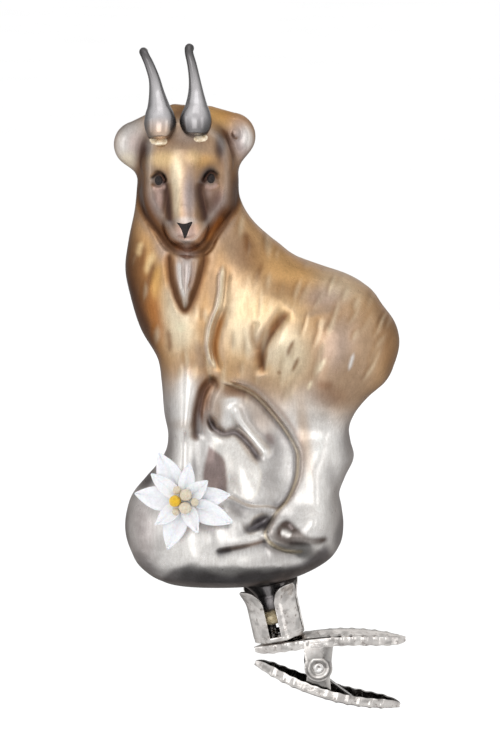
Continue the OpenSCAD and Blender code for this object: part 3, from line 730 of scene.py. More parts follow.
def add_head(f, p):
    f = blend_in(f, ellipsoid(p, at(-20.8, 106, -2.5), (9.6, 8.6, 9)), 2.5)
    f = blend_in(f, round_cone(p, at(-21.4, 106, -7.6), 4.0, at(-21, 95, -11), 3.1), 1.6)
    f = blend_in(f, ellipsoid(p, at(-20.9, 91.2, -11.2), (3.9, 3.6, 3.3)), 1.2)
    for side, lift in ((-1, 0), (1, 0.3)):
        f = blend_in(f, ellipsoid(p, at(-21 + side * 5.6, 96.5 + lift, -7.6), (3, 3, 6)), 2)
        f = blend_in(f, round_cone(p, at(-21 + side * 2.4, 105.4, -9.4), 1.7,
                                   at(-21 + side * 7.6, 104.8 + lift, -7.6), 1.3), 1.4)
        socket = at(-21 + side * 5.5, 101.1 + lift, -12.3)
        f = carve(f, ellipsoid(p, socket, (2.4, 2, 1.9)), 1.2)
        f = blend_in(f, ellipsoid(p, at(-21 + side * 5.5, 101.1 + lift, -9.3), (1.5, 1.3, 1.3)), 0.4)
    # ears, cupped towards the front
    f = blend_in(f, round_cone(p, at(-25.5, 111.4, -0.5), 5.4, at(-31.3, 109.2, -0.5), 4.9), 3.0)
    f = blend_in(f, round_cone(p, at(-16, 111.8, -0.5), 5.4, at(-11.3, 110.9, -0.5), 5.0), 3.0)
    f = carve(f, ellipsoid(p, at(-9.8, 110.2, -6.4), (2.8, 2.6, 3.8)), 2.0)
    return blend_in(f, ellipsoid(p, at(-10.6, 111.4, -3.8), (1, 1, 1.2)), 0.8)


def figure_field(p):
    turn = facing(p)
    f = add_head(trunk(p, turn), p)
    ahead, behind, w_ahead, w_behind = looks_at(p, "detail", turn, (0.05, 0.45))
    f = f - ahead * w_ahead - behind * w_behind
    neck = round_cone(p, SLEEVE_FOOT + 17 * SLEEVE_AXIS, 7.5, SLEEVE_FOOT + 8.2 * SLEEVE_AXIS, 3.6)
    return blend_in(f, neck, 3.5)


# ---------------------------------------------------------------- field to mesh
def surface_net(field, low, step):
    """Quad mesh of a sampled field's zero surface."""
    inside = field < 0
    shape = np.array(field.shape) - 1
    total = np.zeros(tuple(shape) + (3,))
    count = np.zeros(tuple(shape))
    for axis in range(3):
        n = field.shape[axis]
        lo = np.take(field, range(n - 1), axis)
        hi = np.take(field, range(1, n), axis)
        cross = (lo < 0) != (hi < 0)
        t = np.where(cross, lo / np.where(cross, lo - hi, 1), 0)
        where = np.argwhere(cross)
        spot = where.astype(float)
        spot[:, axis] += t[cross]
        others = [a for a in range(3) if a != axis]
        for shift in np.ndindex(2, 2):
            cell = where.copy()
            cell[:, others] -= shift
            ok = np.all((cell >= 0) & (cell < shape), axis=1)
            c = tuple(cell[ok].T)
            np.add.at(total, c, spot[ok])
            np.add.at(count, c, 1)
    index = np.full(tuple(shape), -1)
    live = count > 0
    index[live] = np.arange(live.sum())
    points = low + step * (total[live] / count[live][:, None])
    quads = []
    for axis in range(3):
        n = field.shape[axis]
        lo = np.take(inside, range(n - 1), axis)
        hi = np.take(inside, range(1, n), axis)
        where = np.argwhere(lo != hi)
        a, b = [k for k in range(3) if k != axis]
        where = where[(where[:, a] > 0) & (where[:, b] > 0)
                      & (where[:, a] < shape[a]) & (where[:, b] < shape[b])]
        corner = []
        for shift in ((1, 1), (0, 1), (0, 0), (1, 0)):
            cell = where.copy()
            cell[:, [a, b]] -= shift
            corner.append(index[tuple(cell.T)])
        quad = np.stack(corner, axis=1)
        flip = lo[tuple(where.T)] if axis != 1 else ~lo[tuple(where.T)]
        quad[~flip] = quad[~flip][:, ::-1]
        quads.append(quad)
    return points, np.concatenate(quads)


def gradient(field, p, eps=0.05):
    g = np.empty_like(p)
    for axis in range(3):
        d = np.zeros(3)
        d[axis] = eps
        g[:, axis] = (field(p + d) - field(p - d)) / (2 * eps)
    return g


def settle(field, p, rounds=3):
    """Moves points onto the field's zero surface and gives the outward normals."""
    for _ in range(rounds):
        g = gradient(field, p)
        g2 = np.maximum((g * g).sum(axis=1), 0.05)
        move = (field(p) / g2)[:, None] * g
        size = np.linalg.norm(move, axis=1, keepdims=True)
        p = p - move * np.minimum(1, 0.4 / np.maximum(size, 1e-9))
    g = gradient(field, p)
    return p, g / np.maximum(np.linalg.norm(g, axis=1, keepdims=True), 1e-9)


def build_figure():
    step = 0.6
    low, high = np.array([-38.5, -22, 8]), np.array([27, 20, 122])
    counts = np.ceil((high - low) / step).astype(int)
    axes = [low[i] + step * np.arange(counts[i]) for i in range(3)]
    grid = np.stack(np.meshgrid(*axes, indexing="ij"), axis=-1).reshape(-1, 3)
    values = np.concatenate([figure_field(part) for part in np.array_split(grid, 8)])
    points, quads = surface_net(values.reshape(counts), low, step)
    piece = mesh_object("glass_goat", points, quads.tolist())
    p, n = settle(figure_field, subdivided(piece, 1))
    set_vertices(piece, p)
    return piece, p, n


def colour_figure(p, n):
    """Sprayed and brushed paint, with painted shade in the recesses, round the sides and on the rock's
    downward faces, and painted highlights on ridges.
    """
    turn = facing(p)
    ahead, behind, w, _ = looks_at(p, "colour", turn, (-0.15, 0.15))
    colour = ahead * w[:, None] + behind * (1 - w[:, None])
    deep_a, deep_b, _, _ = looks_at(p, "recess", turn)
    deep = np.clip(deep_a * w + deep_b * (1 - w), -0.6, 0.9)
    u, v = front_uv(p)
    # painted shade in the recesses: slate low down on the rock, brown on the coat
    warm = smooth_step(52, 62, v)[:, None]
    shade = np.array(PALETTE["slate"]) * (1 - warm) + np.array(PALETTE["brown"]) * warm
    colour += (shade - colour) * np.clip(deep * 1.1, 0, 0.6)[:, None]
    # painted highlight on the ridges
    colour = toward(colour, "pearl", np.clip(-deep * 0.8, 0, 0.3))
    # painted shade round the sides and on the rock's downward faces; cloud is a random change of tone
    side = smooth_step(0.45, 0.02, np.abs(n[:, 1]))
    under = smooth_step(-0.3, -0.9, n[:, 2]) * smooth_step(30, 20, v)
    cloud = hash_noise(p / 3.2, 5) * 0.07 + hash_noise(p / 1.1, 6) * 0.05
    colour *= (1 - 0.3 * side)[:, None] * (1 - 0.45 * under)[:, None] * (1 + cloud)[:, None]
    return colour


goat, goat_p, goat_n = build_figure()
paint(goat, colour_figure(goat_p, goat_n))


# ---------------------------------------------------------------- swept and turned shapes
def frames_along(path, side):
    ahead = np.gradient(path, axis=0)
    ahead /= np.linalg.norm(ahead, axis=1, keepdims=True)
    across = np.cross(side, ahead)
    across /= np.linalg.norm(across, axis=1, keepdims=True)
    return across, np.cross(ahead, across)


def grid_faces(rows, cols, wrap_rows=False, wrap_cols=False):
    faces = []
    for i in range(rows if wrap_rows else rows - 1):
        for j in range(cols if wrap_cols else cols - 1):
            a, b = (i + 1) % rows, (j + 1) % cols
            faces.append((i * cols + j, i * cols + b, a * cols + b, a * cols + j))
    return faces


def tube(name, path, radii, side, sides=24):
    path, radii = np.array(path, float), np.array(radii, float)
    across, over = frames_along(path, np.array(side, float))
    turn = 2 * math.pi * np.arange(sides) / sides
    rings = (path[:, None] + radii[:, None, None]
             * (np.cos(turn)[None, :, None] * over[:, None]
                + np.sin(turn)[None, :, None] * across[:, None]))
    faces = grid_faces(len(path), sides, wrap_cols=True)
    faces += [tuple(range(sides))[::-1], tuple(range((len(path) - 1) * sides, len(path) * sides))]
    return mesh_object(name, rings.reshape(-1, 3), faces)


def placed(points, origin, z_axis, x_hint=(1, 0, 0)):
    """Points given in a local frame, put at origin with their Z along z_axis."""
    z = np.array(z_axis, float) / np.linalg.norm(z_axis)
    y = np.cross(z, x_hint)
    y /= np.linalg.norm(y)
    return np.array(origin) + np.asarray(points) @ np.array([np.cross(y, z), y, z])


def turned(name, profile, origin, z_axis, sides=48, wobble=0.0, seed=1):
    """A closed solid of revolution from [radius, height] points that start and end on the axis."""
    body = np.array(profile[1:-1], float)
    angle = 2 * math.pi * np.arange(sides) / sides
    ring = np.stack([np.outer(body[:, 0], np.cos(angle)), np.outer(body[:, 0], np.sin(angle)),
                     np.repeat(body[:, 1:], sides, axis=1)], axis=-1).reshape(-1, 3)
    points = np.concatenate([ring, [[0, 0, profile[0][1]], [0, 0, profile[-1][1]]]])
    if wobble:
        points = points * (1 + wobble * hash_noise(points * 1.3 + 9, seed)[:, None])
    faces = grid_faces(len(body), sides, wrap_cols=True)
    last = (len(body) - 1) * sides
    faces += [(len(ring), (j + 1) % sides, j) for j in range(sides)]
    faces += [(len(ring) + 1, last + j, last + (j + 1) % sides) for j in range(sides)]
    return mesh_object(name, placed(points, origin, z_axis), faces)


def joined(name, pieces):
    """Several mesh pieces as one object."""
    points, faces = [], []
    for piece in pieces:
        start = sum(len(part) for part in points)
        points.append(vertices_of(piece))
        faces += [tuple(start + k for k in face.vertices) for face in piece.data.polygons]
        bpy.data.meshes.remove(piece.data)
    return mesh_object(name, np.concatenate(points), faces)


def finish_piece(piece, body, slot, material, *nodes):
    piece.data.materials.clear()
    piece.data.materials.append(material)
    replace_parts(piece, *nodes) if nodes else None
    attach(piece, body)


# ---------------------------------------------------------------- horns and their glue
HORN_PATHS = {
    "left": [(-26.1, -10.9, 112.2), (-26.1, -10.6, 112.9), (-26.2, -10, 114.2), (-26.2, -9.1, 115.8),
             (-26.4, -8.3, 117.6), (-26.6, -7.5, 119.3), (-27, -6.2, 122), (-27.5, -5.2, 124.7),
             (-28.5, -4.4, 127.5), (-29.4, -3.8, 129.4), (-29.8, -2.6, 130.2), (-29.1, -1.4, 129.6)],
    "right": [(-18.8, -10.8, 112.9), (-18.8, -10.5, 113.6), (-18.8, -9.9, 114.8), (-18.8, -9.1, 116.2),
              (-18.7, -8.3, 117.8), (-18.7, -7.5, 119.4), (-18.8, -6.2, 122), (-19.1, -5.2, 124.7),
              (-19.6, -4.4, 127.5), (-20.2, -3.8, 129.9), (-20.2, -2.6, 131), (-19.5, -1.5, 130.4)]}
HORN_RADII = [1.3, 2.4, 3.1, 3.4, 3, 2.3, 1.6, 1.2, 1, 0.9, 0.9, 0.75]


HORN_FOOT_TINTS = {"left": (0.75, 0.5, 0.32), "right": (0.1, 0.09, 0.09)}
HORN_GLUE = {"left": (-26.1, -9.8, 112.3), "right": (-18.4, -9.8, 112.9)}


def make_horn(side):
    """A drawn glass horn: dark tip, painted shade down its sides so that its middle stays bright, and
    a tinted foot.
    """
    rows, sides = 70, 32
    path = curve_through(HORN_PATHS[side], rows)
    radii = curve_through([[r, 0] for r in HORN_RADII], rows)[:, 0]
    start = 0.3 + 0.7 * np.sqrt(np.clip(np.arange(rows) / 4, 0, 1))
    end = np.sqrt(np.clip((rows - 1 - np.arange(rows)) / 4 + 0.1, 0, 1))
    piece = tube(side + "_horn_glass", path, radii * start * end, (1, 0, 0), sides)
    p = vertices_of(piece)
    along = np.repeat(np.linspace(0, 1, rows), sides)[:, None]
    base = np.tile((0.66, 0.64, 0.65), (len(p), 1))
    base += ((0.06, 0.055, 0.055) - base) * 0.9 * smooth_step(0.5, 0.86, along)
    base += (HORN_FOOT_TINTS[side] - base) * 0.7 * smooth_step(0.3, 0.1, along)
    # painted shade: darker with distance across x from the horn's middle line
    off_middle = np.abs(p[:, 0] - np.repeat(path[:, 0], sides)) / np.repeat(radii, sides).clip(0.3)
    base *= (1 - 0.75 * smooth_step(0.25, 0.9, off_middle))[:, None]
    base *= (1 + 0.1 * hash_noise((p - path[0]) * (1.4, 1.4, 0.25), 3))[:, None]
    paint(piece, base)
    return piece


def make_horn_glue(side):
    """An uneven puddle of glue under the foot of a horn."""
    profile = [(0, -0.6), (1.5, -0.55), (2.2, -0.3), (2.5, 0), (2.4, 0.5), (1.6, 0.9), (0, 0.9)]
    piece = turned(side + "_horn_glue_bead", profile, HORN_GLUE[side], (0, -0.35, 0.94), 56, 0.06,
                   len(side))
    p = subdivided(piece, 2)
    set_vertices(piece, p + 0.12 * hash_noise(p * 1.7, 8)[:, None] * np.array([1, 1, 0.5]))
    return piece


# ---------------------------------------------------------------- enamel eyes and nose
ENAMEL_LIFT = 0.12


def enamel_dot(name, outline, lift):
    """A thin raised drop of enamel that lies on the figure's face, inside a (u, v) outline."""
    ring = curve_through(list(outline) + [outline[0]], 41)[:-1]
    middle, around = ring.mean(axis=0), len(ring)
    shells = (0.25, 0.5, 0.75, 0.92, 1)
    uv = np.concatenate([[middle]] + [middle + s * (ring - middle) for s in shells])
    height = np.concatenate([[1]] + [np.full(around, math.sqrt(1 - s**4)) for s in shells])

    def points_at(depth):
        return np.array([at(u, v, y) for (u, v), y in zip(uv, depth)])

    depth = np.full(len(uv), -21.0)
    for _ in range(60):
        depth += np.clip(figure_field(points_at(depth)), -0.3, 1.5) * 0.8
    p = points_at(depth)
    n = gradient(figure_field, p)
    n /= np.linalg.norm(n, axis=1, keepdims=True)
    top = p + n * (lift * height - 0.03)[:, None]
    low = p[-around:] - n[-around:] * 0.3
    faces = [(0, 1 + j, 1 + (j + 1) % around) for j in range(around)]
    faces += [tuple(1 + k for k in face[::-1])
              for face in grid_faces(len(shells) + 1, around, wrap_cols=True)]
    faces.append(tuple(range(len(top), len(top) + around))[::-1])
    return mesh_object(name, np.concatenate([top, low]), faces)


def oval(u, v, across, up):
    return [(u + across * math.cos(a), v + up * math.sin(a))
            for a in np.linspace(0, 2 * math.pi, 12, endpoint=False)]


# ---------------------------------------------------------------- edelweiss
FLOWER_AT = np.array([-21.3, -18.4, 37.1])
FLOWER_TILT, FLOWER_YAW = math.radians(78), math.radians(-16)
FLOWER_TURN = np.array(Euler((FLOWER_TILT, 0, FLOWER_YAW)).to_matrix())
PETAL_THICK, STAR_GAP = 0.4, 0.05
# [angle, length, width, lift of the tip]
OUTER_PETALS = [(10, 10.5, 4.2, 0.8), (120, 11.4, 5.4, 1.2), (175, 10.6, 5, 0.6),
                (257, 10.4, 5, 0.9), (341, 11.8, 4.8, 0.7)]
INNER_PETALS = [(40, 7.2, 3.6, 1.6), (80, 8.3, 3.4, 1.2), (140, 8.8, 3.2, 1.0),
                (223, 7.4, 3.2, 1.2), (304, 7.6, 3.2, 1.5)]
# [place on the flower, radius]
CREAM_BEADS = [((1, 1.35), 1.3), ((1, -1.35), 1.3), ((-1.1, 2.3), 0.9), ((-1.1, -2.2), 0.8),
               ((2.9, 0), 0.85)]
YELLOW_BEAD = ((-1.3, 0), 1.25)


def on_flower(points):
    return FLOWER_AT + np.asarray(points) @ FLOWER_TURN.T


def petal(angle, length, width, tip_lift, base, seed):
    """A leaf-shaped felt petal with a fold along its middle and a rolled edge."""
    rows, cols = 34, 17
    t = np.linspace(0, 1, rows)[:, None]
    s = np.linspace(-1, 1, cols)[None, :]
    half = width / 2 * np.sin(math.pi * t**1.05)**0.85 + 0.5 * (1 - t)
    half = np.maximum(half * (1 - 0.15 * t), 0.04)
    x = t * length + 0 * s
    y = half * s + 0.25 * np.sin(3 * t + seed) * t
    z = base + tip_lift * t**2 + 0.55 * np.abs(s)**1.6 * np.sin(math.pi * t)
    z = z + 0.18 * np.sin(5 * s + 4 * t + seed) * t
    z = z - 0.35 * np.exp(-(s / 0.2)**2) * np.sin(math.pi * t)
    a = math.radians(angle)
    local = np.stack([x * math.cos(a) - y * math.sin(a), x * math.sin(a) + y * math.cos(a), z], -1)
    fuzz = hash_noise(local.reshape(-1, 3) * 2.4, seed)
    local = local.reshape(-1, 3) + np.array([0, 0, 0.05]) * fuzz[:, None]
    piece = mesh_object("petal", on_flower(local), grid_faces(rows, cols))
    return thickened(piece, PETAL_THICK * 0.7)


def make_star(name, petals, base, seed):
    parts = [petal(*spec, base + 0.06 * i, seed + i) for i, spec in enumerate(petals)]
    return joined(name, parts)


def make_bead(name, place, radius, seed):
    """A small pressed felt ball, not quite round."""
    rows, cols = 20, 28
    profile = [(0, -1)] + [(math.sin(math.pi * i / rows), -math.cos(math.pi * i / rows))
                           for i in range(1, rows)] + [(0, 1)]
    height = 2 * PETAL_THICK + 2 * STAR_GAP + radius
    piece = turned(name, profile, (0, 0, 0), (0, 0, 1), cols)
    p = vertices_of(piece)
    p = p * (1 + 0.07 * hash_noise(p * 1.6 + seed, seed) + 0.035 * hash_noise(p * 6, seed))[:, None]
    set_vertices(piece, on_flower(p * radius * 0.98 + np.array([*place, height])))
    return piece


# ---------------------------------------------------------------- the sleeve and the cement
def normals_of(piece):
    n = np.empty(len(piece.data.vertices) * 3)
    piece.data.vertices.foreach_get("normal", n)
    return n.reshape(-1, 3)


def paint_stains_and_inner_shade(piece, amount):
    """Darkens the nickel: painted shade on the inner faces and random stains all over. amount is 0
    outside and 1 on inner faces.
    """
    p = vertices_of(piece)
    stain = 0.35 * smooth_step(0, 0.6, hash_noise(p / (1.6, 1.6, 0.9), 14))
    # painted shade on the inner faces, times random stains
    stain_and_shade_factor = (1 - 0.72 * smooth_step(0.25, 0.85, amount)) * (1 - stain)
    paint(piece, np.repeat(stain_and_shade_factor[:, None], 3, axis=1) * (1, 0.98, 0.96))


SLEEVE_R, SLEEVE_H, SLEEVE_WALL = 5.4, 12, 0.4
SLEEVE_FLARE, FLARE_H = 1.7, 4


def make_sleeve():
    """A rolled tube with flat facets, cut into four prongs that flare round the neck."""
    half_slot, first_slot = math.radians(13), math.radians(-98)
    parts = []
    for prong in range(4):
        middle = first_slot + (prong + 0.5) * math.pi / 2
        half = math.pi / 4 - half_slot
        rows, cols = 30, 25
        a = np.linspace(-half, half, cols)[None, :]
        h = np.linspace(0, 1, rows)[:, None]
        top = SLEEVE_H - 3.4 * np.abs(a / half)**3.5
        z = 0.9 + (top - 0.9) * h
        facet = 1 - 0.03 * np.cos(4 * (a * math.pi / 4 / half))
        flare = SLEEVE_FLARE * np.clip((z - SLEEVE_H + FLARE_H) / FLARE_H, 0, 1)**1.6
        r = (SLEEVE_R - SLEEVE_WALL / 2) * facet + flare
        grid = np.stack([r * np.cos(middle + a), r * np.sin(middle + a), z + 0 * a], -1)
        parts.append(mesh_object("prong", grid.reshape(-1, 3), grid_faces(rows, cols)))
    cols = 96
    a = np.linspace(0, 2 * math.pi, cols, endpoint=False)
    r = (SLEEVE_R - SLEEVE_WALL / 2) * (1 - 0.03 * np.cos(8 * (a - first_slot)))
    wall = [np.stack([r * np.cos(a), r * np.sin(a), np.full(cols, z)], -1)
            for z in (0.3, 0.5, 0.8, 1.1)]
    floor = [np.stack([r * k * np.cos(a), r * k * np.sin(a), np.full(cols, 0.22)], -1)
             for k in (0.26, 0.5, 0.9, 0.97)]
    ring = np.concatenate(floor + wall)
    parts.append(mesh_object("ring", ring, grid_faces(len(floor + wall), cols, wrap_cols=True)))
    parts = [thickened(part, SLEEVE_WALL, 0.08, 30) for part in parts]
    piece = joined("pronged_sleeve", parts)
    # painted shade on the sleeve's faces that look in towards its axis
    p, n = vertices_of(piece), normals_of(piece)
    out = p * (1, 1, 0)
    out /= np.linalg.norm(out, axis=1, keepdims=True)
    paint_stains_and_inner_shade(piece, -(n * out).sum(axis=1))
    set_vertices(piece, placed(p, SLEEVE_FOOT, SLEEVE_AXIS))
    return piece


def make_cement():
    profile = [(0, 3.4), (2.4, 3.4), (3.8, 3.9), (4.5, 4.7), (4.7, 5.6), (4.4, 6.3), (3.7, 6.6),
               (0, 6.6)]
    piece = turned("neck_cement_fill", profile, (0, 0, 0), (0, 0, 1), 64)
    p = subdivided(piece, 2)
    lump = 0.05 * hash_noise(p * 0.9, 21) + 0.03 * hash_noise(p * 2.6, 22)
    p = p * (1 + lump[:, None] * np.array([1, 1, 0.5]))
    set_vertices(piece, placed(p, SLEEVE_FOOT, SLEEVE_AXIS))
    return piece


# ---------------------------------------------------------------- the clip
PIVOT = np.array([7.2, 0, -1.6])
LEVER_LENGTH, LEVER_WIDTH, ARCH_R, SHEET, SKIRT = 32.8, 9, 54, 0.5, 1.8
ARCH_RISE = ARCH_R - math.sqrt(ARCH_R**2 - (LEVER_LENGTH / 2)**2)
# Middle of the tip-to-tip chord, lean in degrees, and which way the arch bulges
UPPER = (np.array([9.7, 0, 3.25]), 4, 1)
LOWER = (np.array([9.1, 0, -6.5]), -16.7, -1)
# Ears: distance from the middle, radius of the round end, and reach on the left and the right
UPPER_EAR_Y, UPPER_EAR_R, UPPER_EAR_REACH = 4.1, 3.0, (5.8, 6.4)
LOWER_EAR_Y, LOWER_EAR_R, LOWER_EAR_REACH = 3.45, 2.6, (-5.1, -6.8)


def lever_points(x, across, drop, lever):
    """Points of a lever from places along it, across it, and below the top of its arch."""
    middle, lean, bulge = lever
    crown = ARCH_RISE - (ARCH_R - np.sqrt(ARCH_R**2 - x**2))
    z = bulge * (crown - drop)
    a = math.radians(lean)
    return np.stack([middle[0] + x * math.cos(a) - z * math.sin(a), middle[1] + across,
                     middle[2] + z * math.cos(a) + x * math.sin(a)], axis=-1)


def leaf_half_width(x):
    return LEVER_WIDTH / 2 * (1 - np.abs(2 * x / LEVER_LENGTH)**2.5)**0.85


def make_leaf(lever):
    """A pointed channel with a scalloped, turned-down edge and a row of pressed bars."""
    rows, cols = 181, 57
    pitch, first_bar = 2.45, 1.3
    t = np.linspace(-1, 1, rows)[:, None]
    s = np.linspace(-1, 1, cols)[None, :]
    x = (LEVER_LENGTH / 2 - 0.12) * np.sin(t * math.pi / 2 * 0.999) + 0 * s
    half = np.maximum(leaf_half_width(x) - SHEET / 2, 0.12)
    nose = np.clip((LEVER_LENGTH / 2 - np.abs(x)) / 5, 0, 1)
    skirt = 0.3 + (SKIRT - 0.3) * np.sqrt(1 - (1 - nose)**2)
    # a flat crown, a rounded bend, then the skirt going down
    flat, bend = 0.66, 0.8
    reach = np.minimum(np.abs(s) / bend, 1)
    rounded = flat + (1 - flat) * np.sin((reach - flat) / (1 - flat) * math.pi / 2)
    across = half * np.sign(s) * np.where(reach < flat, reach, rounded)
    curl = 0.16 * half * reach**2
    down = skirt * np.clip((np.abs(s) - bend) / (1 - bend), 0, 1)
    # pressed bars across the bend, four on each side of the ears
    bars = np.exp(-((np.mod(x - first_bar, pitch) - pitch / 2) / 0.42)**2)
    bars *= smooth_step(15.2, 13.6, np.abs(x)) * smooth_step(1.6, 3.4, np.abs(x + 2.4))
    edge = np.exp(-((np.abs(s) - 0.82) / 0.13)**2)
    across += 0.3 * bars * edge * np.sign(s)
    scallop = 0.14 * (1 + np.cos(2 * math.pi * (x - first_bar) / pitch)) / 2
    down = down - scallop * (np.abs(s) > 0.96) * smooth_step(15, 13, np.abs(x))
    drop = SHEET / 2 + curl + down - 0.18 * bars * np.exp(-((np.abs(s) - 0.66) / 0.1)**2)
    points = lever_points(x, across, drop, lever)
    piece = mesh_object("leaf", points.reshape(-1, 3), grid_faces(rows, cols))
    return thickened(piece, SHEET * 0.8, 0.07)


def make_ear(y, radius, reach, waist):
    """A flat ear that runs from a lever's sheet to a round end at the pin."""
    up = 1 if reach[0] > 0 else -1
    outline = [(radius * math.cos(a), -up * radius * math.sin(a))
               for a in np.linspace(0, math.pi, 33)]
    neck = radius - waist
    outline += [(-neck, up * 1.6), (-radius - 0.3, reach[0]), (radius + 0.3, reach[1]),
                (neck, up * 1.6)]
    ring = np.array(outline)
    hole = 0.8 * ring / np.linalg.norm(ring, axis=1, keepdims=True)
    # flat round the hole, then a raised ring, then flat to the outline
    layers = [(hole, 0), (hole * 2.1, 0), (hole * 2.6, 0.2), (hole * 3, 0), (ring, 0)]
    flat = [np.stack([layer[:, 0], np.full(len(layer), y + np.sign(y) * rise), layer[:, 1]], -1)
            for layer, rise in layers]
    points = np.concatenate(flat) + np.array([PIVOT[0], 0, PIVOT[2]])
    piece = mesh_object("ear", points, grid_faces(len(layers), len(ring), wrap_cols=True))
    return thickened(piece, SHEET * 0.9, 0.07)


def make_lever(name, lever, ear_y, ear_r, reach, waist):
    ears = [make_ear(side * ear_y, ear_r, reach, waist) for side in (-1, 1)]
    piece = joined(name, [make_leaf(lever)] + ears)
    p, n = vertices_of(piece), normals_of(piece)
    # painted shade on the inner faces of the channel and ears, and in two rings round the pin on the
    # ears
    inward = np.maximum(-lever[2] * n[:, 2], -n[:, 1] * np.sign(p[:, 1]))
    from_pin = np.hypot(p[:, 0] - PIVOT[0], p[:, 2] - PIVOT[2])
    rings = np.exp(-((from_pin - 1.5) / 0.22)**2) + np.exp(-((from_pin - 2.45) / 0.2)**2)
    paint_stains_and_inner_shade(piece, np.maximum(inward, rings * (np.abs(p[:, 1]) > 3)))
    return piece


def make_rivet():
    """A pin with a domed, dimpled head pressed over each outer ear."""
    outer = UPPER_EAR_Y + 0.25
    head = [(0, outer + 0.28), (0.3, outer + 0.3), (0.5, outer + 0.38), (0.85, outer + 0.38),
            (1.1, outer + 0.28), (1.2, outer + 0.12), (1.2, outer)]
    profile = [(0, -head[0][1])] + [(r, -h) for r, h in head[1:]] + [(0.75, -outer + 0.02)]
    profile += [(0.75, outer - 0.02)] + [(r, h) for r, h in head[::-1][:-1]] + [(0, head[0][1])]
    return turned("domed_rivet", profile, PIVOT, (0, 1, 0), 48)


WIRE_R, COIL_R, COIL_TURNS, COIL_PITCH = 0.3, 1.45, 2, 0.72
LEG_HIGH, LEG_LOW = np.array([10, 5]), np.array([15.6, -9.8])


def leg_angle(point, side):
    """Angle at which a straight leg from a point in the XZ plane meets the coil."""
    v = point - PIVOT[[0, 2]]
    return math.atan2(v[1], v[0]) + side * math.acos(COIL_R / np.linalg.norm(v))


def make_spring():
    first = leg_angle(LEG_HIGH, 1)
    last = leg_angle(LEG_LOW, -1) + 2 * math.pi * (COIL_TURNS + 1)
    steps = 150
    width = COIL_PITCH * (last - first) / (2 * math.pi)
    k = np.linspace(0, 1, steps)
    a = first + (last - first) * k
    coil = np.stack([PIVOT[0] + COIL_R * np.cos(a), width * (k - 0.5),
                     PIVOT[2] + COIL_R * np.sin(a)], axis=1)
    legs = [np.array([p[0], s * width / 2, p[1]]) for p, s in ((LEG_HIGH, -1), (LEG_LOW, 1))]
    j = np.linspace(0, 1, 25)[:, None]
    path = np.concatenate([(legs[0] + (coil[0] - legs[0]) * j)[:-1], coil,
                           (coil[-1] + (legs[1] - coil[-1]) * j)[1:]])
    return tube("wound_spring", path, np.full(len(path), WIRE_R), (0, 1, 0), 12)


# ---------------------------------------------------------------- materials
class Nodes:
    """A material, or the world, and short ways to add nodes to it."""
    def __init__(self, name, owners=bpy.data.materials, shader="Principled BSDF"):
        self.material = owners.new(name)
        self.material.use_nodes = True
        self.tree = self.material.node_tree
        self.shader = self.tree.nodes[shader]

    def add(self, kind, **values):
        node = self.tree.nodes.new("ShaderNode" + kind)
        for key, value in values.items():
            if hasattr(node, key):
                setattr(node, key, value)
            else:
                node.inputs[key.replace("_", " ")].default_value = value
        return node

    def link(self, source, node, socket):
        self.tree.links.new(source, node.inputs[socket])

    def set(self, **values):
        for key, value in values.items():
            self.shader.inputs[key.replace("_", " ")].default_value = value

    def place(self, scale):
        """Object coordinates in millimetres times scale, one number or one for each axis."""
        here = self.add("TexCoord")
        move = self.add("Mapping")
        move.inputs["Scale"].default_value = (np.full(3, scale, float) / MM).tolist()
        self.link(here.outputs["Object"], move, "Vector")
        return move.outputs["Vector"]

    def noise(self, scale, detail=4.0, roughness=0.55):
        node = self.add("TexNoise", Scale=1.0, Detail=detail, Roughness=roughness)
        self.link(self.place(scale), node, "Vector")
        return node.outputs["Fac"]

    def spread(self, source, low, high, start=0.0, end=1.0, kind="LINEAR"):
        node = self.add("MapRange", interpolation_type=kind)
        for key, value in (("From Min", start), ("From Max", end), ("To Min", low), ("To Max", high)):
            node.inputs[key].default_value = value
        self.link(source, node, "Value")
        return node.outputs["Result"]

    def ramp(self, source, stops):
        node = self.add("ValToRGB")
        while len(node.color_ramp.elements) < len(stops):
            node.color_ramp.elements.new(0.5)
        for element, (place, colour) in zip(node.color_ramp.elements, stops):
            element.position, element.color = place, (*colour, 1)
        self.link(source, node, "Fac")
        return node.outputs["Color"]

    def mix(self, a, b, kind="MULTIPLY", amount=1.0):
        node = self.add("Mix", data_type="RGBA", blend_type=kind)
        node.inputs[0].default_value = amount
        self.link(a, node, 6)
        self.link(b, node, 7)
        return node.outputs[2]

    def painted(self):
        return self.add("Attribute", attribute_name="paint").outputs["Color"]

    def colour(self, source):
        self.link(source, self.shader, "Base Color")

    def rough(self, source):
        self.link(source, self.shader, "Roughness")

    def bump(self, source, distance_mm, strength=1.0):
        node = self.add("Bump", Strength=strength, Distance=distance_mm * MM)
        self.link(source, node, "Height")
        self.link(node.outputs["Normal"], self.shader, "Normal")


def painted_glass():
    """Matt metallic lacquer over silvered glass, with fine speckle and brush drag."""
    m = Nodes("painted_glass")
    speckle = m.ramp(m.noise(2.6, 6, 0.7), [(0.3, (0.86, 0.85, 0.84)), (0.62, (1, 1, 1))])
    drag = m.ramp(m.noise((2.2, 2.2, 0.35), 5), [(0.35, (0.88, 0.87, 0.86)), (0.65, (1, 1, 1))])
    m.colour(m.mix(m.mix(m.painted(), speckle), drag))
    m.rough(m.spread(m.noise((0.5, 0.5, 0.3), 4), 0.26, 0.4, 0.3, 0.7))
    m.bump(m.noise((1.4, 1.4, 0.5), 5), 0.04, 0.4)
    m.set(Metallic=0.92, Specular_Tint=(0.66, 0.6, 0.57, 1), Coat_Weight=0.05, Coat_Roughness=0.3)
    return m.material


